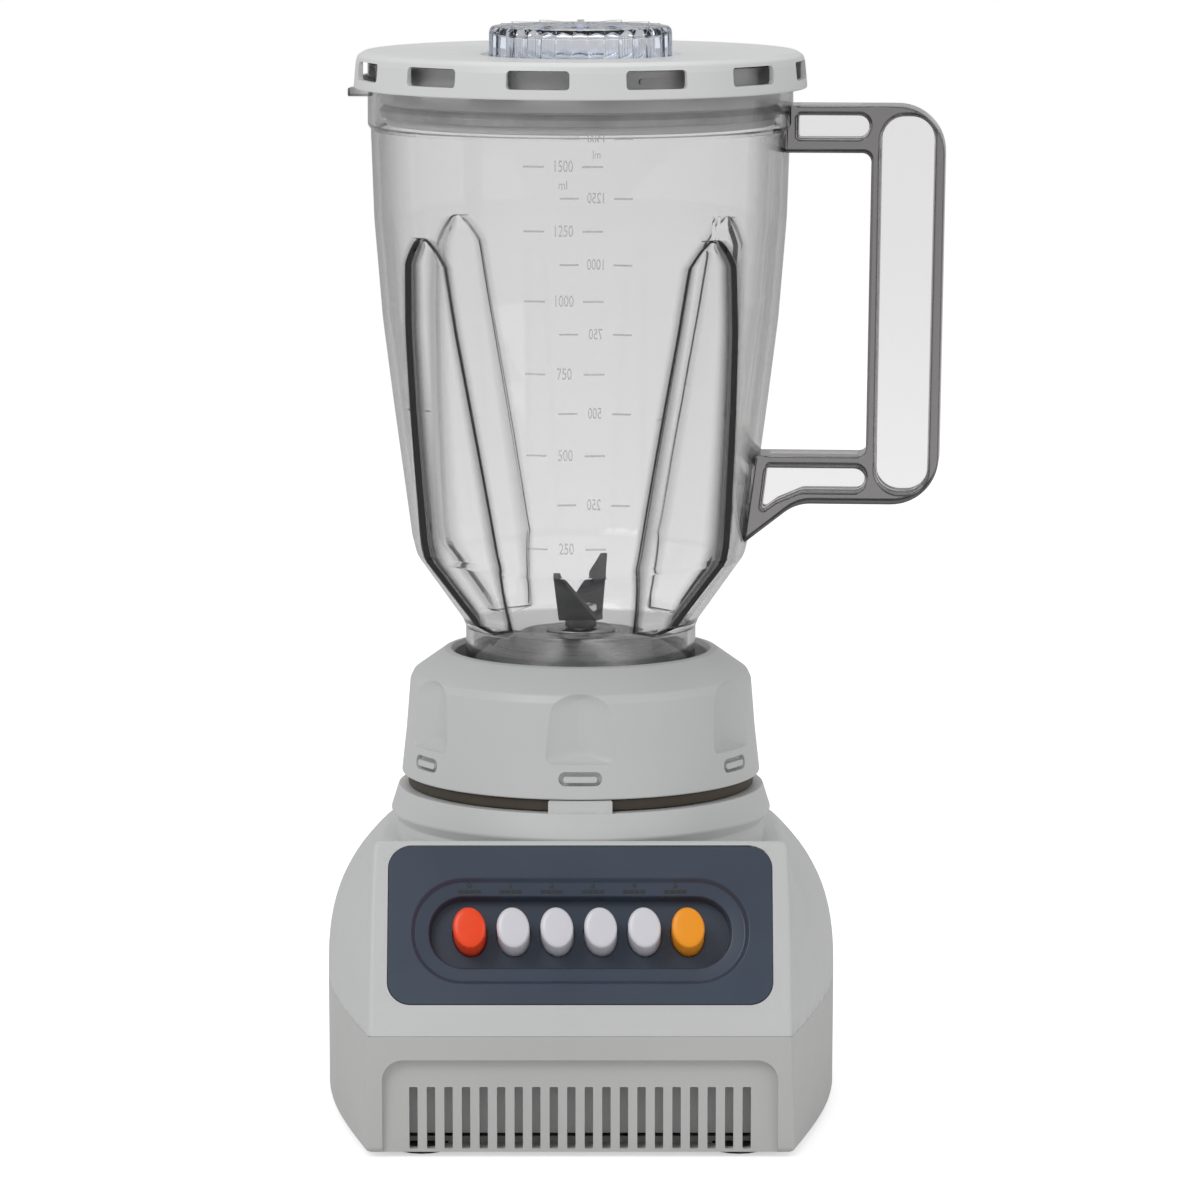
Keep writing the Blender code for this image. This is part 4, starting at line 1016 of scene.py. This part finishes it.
def graduations(name, middle):
    """The jar's scale: a dash, the number of millilitres and a dash at each step."""
    shapes = []
    for amount, height in GRADUATIONS:
        number = text_shape(str(amount), NUMBER_HEIGHT, NUMBER_WIDTH, 0.3)
        shapes.append(wrapped(number, height, middle, 0.2))
        for side in (-1, 1):
            dash = rectangle(3.4, 0.28, 0.2, (side * 9.6, 0), 2)
            shapes.append(wrapped(prism(dash, -0.15, 0.15), height, middle, 0.2))
    shapes.append(wrapped(text_shape("ml", 3.0, 0.75, 0.3), GRADUATIONS[0][1] - 6.0, middle, 0.2))
    # the graduations get the painted shade all over
    marks = mark_folds(joined(shapes), lambda point: GRADUATION_SHADE)
    piece(name, marks, "jar", "jar_clear", matrix=Matrix.Rotation(JAR_TURN, 4, "Z"))


# Lid and cap

def lid():
    shape = turned([
        (73.4, 343.9, 0.5), (75.7, 343.9, 0.6), (74.9, 352.4, 1.5), (74.3, 354.6, 1.4), (72.0, 356.0, 1.5),
        (65.0, 354.9, 3.0), (33.4, 354.9, 0.6), (32.6, 353.4), (27.6, 353.4, 0.4), (27.6, 346.0),
        (29.8, 346.0), (29.8, 352.0), (63.6, 352.0), (63.6, 332.0, 0.5), (64.9, 332.0, 0.5),
        (64.9, 339.0), (66.8, 339.4), (66.8, 353.5), (73.4, 353.5),
    ], 240)
    windows = []
    for i in range(12):
        middle = math.radians(-90 - 10.5) + TAU * i / 12
        windows.append(around(rectangle(10.4, 3.05, 1.3, (0, 350.25), 6), middle, 71.6, 78.0, 74.8))
    shape = cut(shape, *windows)
    piece("lid_shell", shape, "lid", "lid_grey", ["lid"], bevel=0.3)
    gasket = turned([(65.2, 335.5), (66.6, 334.4, 0.4), (67.4, 336.9, 0.4), (65.2, 338.6)])
    piece("lid_gasket_ring", gasket, "lid", "pale_rubber", ["lid_gasket"])


def cap_ring(radius, z, amplitude, steps=288, flutes=36):
    ring = []
    for i in range(steps):
        angle = TAU * i / steps
        wave = abs(math.cos(angle * flutes / 2)) ** 0.7
        reach = radius - amplitude * (1 - wave)
        ring.append(Vector((reach * math.cos(angle), reach * math.sin(angle), z)))
    return ring


def measuring_cap():
    rings = [
        cap_ring(30.2, 353.7, 0.5), cap_ring(30.6, 354.1, 0.6), cap_ring(30.5, 362.2, 0.6),
        cap_ring(30.2, 363.3, 0.5), cap_ring(29.6, 364.0, 0.3), cap_ring(28.8, 364.2, 0.1),
    ]
    head = loft(rings)
    skirt = turned([(0, 336.0), (27.2, 336.0, 0.6), (27.2, 356.0), (0, 356.0)], 128)
    shape = fused(head, skirt)
    shape = cut(shape, turned([(0, 330.0), (25.0, 330.0), (25.0, 362.0, 1.5), (0, 362.0)], 128))
    ribs = []
    for i in range(12):
        outline = filleted([(5.0, -0.5, 0), (26.5, -1.2, 1), (26.5, 1.2, 1), (5.0, 0.5, 0)], 3)
        rib = prism(outline, 363.8, 365.0)
        ribs.append(moved(rib, Matrix.Rotation(TAU * i / 12, 4, "Z")))
    shape = fused(shape, rod(6.5, 363.7, 364.9, 64), *ribs)
    piece("cap_cup", shape, "cap", "cap_clear", ["measuring_cap"], sharp=30)


# Setting

SKY = 0.52
FLOOR_HALF = 20.0
LENS = 179.5
TILT = 8.34
FLOOR_LIFT = 0.57  # lifts the floor to near white where it is seen, without lighting the object from below


def area_light(name, place, target, size, power, size_y=None):
    light = bpy.data.lights.new(name, "AREA")
    light.energy = power
    light.size = size
    if size_y:
        light.shape = "RECTANGLE"
        light.size_y = size_y
    item = bpy.data.objects.new(name, light)
    item.location = place
    item.rotation_euler = (Vector(target) - Vector(place)).to_track_quat("-Z", "Y").to_euler()
    bpy.context.scene.collection.objects.link(item)


def setting():
    world = bpy.data.worlds.new("studio")
    bpy.context.scene.world = world
    world.use_nodes = True
    world.node_tree.nodes["Background"].inputs["Color"].default_value = (1.0, 1.0, 1.0, 1.0)
    world.node_tree.nodes["Background"].inputs["Strength"].default_value = SKY
    mesh = bpy.data.meshes.new("floor")
    corners = [(x * FLOOR_HALF, y * FLOOR_HALF, 0) for x, y in ((-1, -1), (1, -1), (1, 1), (-1, 1))]
    mesh.from_pydata(corners, [], [(0, 1, 2, 3)])
    floor = bpy.data.objects.new("floor", mesh)
    floor.location.z = -0.0001
    bpy.context.scene.collection.objects.link(floor)
    n = Nodes("floor")
    cloud = n.noise(1.5, 2.0, 0.5)
    n.set(Base_Color=n.colours(cloud, [(0.3, (0.80, 0.80, 0.80)), (0.7, (0.82, 0.82, 0.82))]), Roughness=0.9)
    path = n.add("ShaderNodeLightPath")
    rays = {0: path.outputs["Is Camera Ray"], 1: path.outputs["Is Transmission Ray"]}
    seen = n.add("ShaderNodeMath", rays)
    lift = n.add("ShaderNodeMath", {0: seen.outputs[0], 1: FLOOR_LIFT}, operation="MULTIPLY", use_clamp=True)
    glow = n.add("ShaderNodeEmission", {"Strength": lift.outputs[0]})
    both = n.add("ShaderNodeAddShader", {0: n.shader.outputs[0], 1: glow.outputs[0]})
    n.link(both.outputs[0], n.output.inputs["Surface"])
    mesh.materials.append(n.material)
    centre = (AXIS_X, 0.0, 0.18)
    area_light("key", (-1.3, -1.7, 1.9), centre, 1.2, 19.0)
    area_light("fill", (1.6, -1.3, 1.1), centre, 1.2, 5.0)
    area_light("top", (0.0, 0.5, 2.2), centre, 1.4, 9.0)


def camera():
    data = bpy.data.cameras.new("camera")
    data.lens = LENS
    data.sensor_width = 36.0
    data.clip_end = 200.0
    item = bpy.data.objects.new("camera", data)
    item.location = (AXIS_X + 0.0065, -2.0, 0.464)
    item.rotation_euler = (math.radians(90 - TILT), 0, 0)
    bpy.context.scene.collection.objects.link(item)
    bpy.context.scene.camera = item


upper_housing()
lower_housing()
vent_baffle()
control_panel()
for key_number in range(KEY_COUNT):
    key(key_number)
key_marks()
jar_collar()
blade_carrier()
seat_gasket()
blade_unit()
jar()
graduations("graduations_front", -math.pi / 2)
graduations("graduations_rear", math.pi / 2)
lid()
measuring_cap()
setting()
camera()

bpy.context.scene.view_settings.view_transform = "Standard"
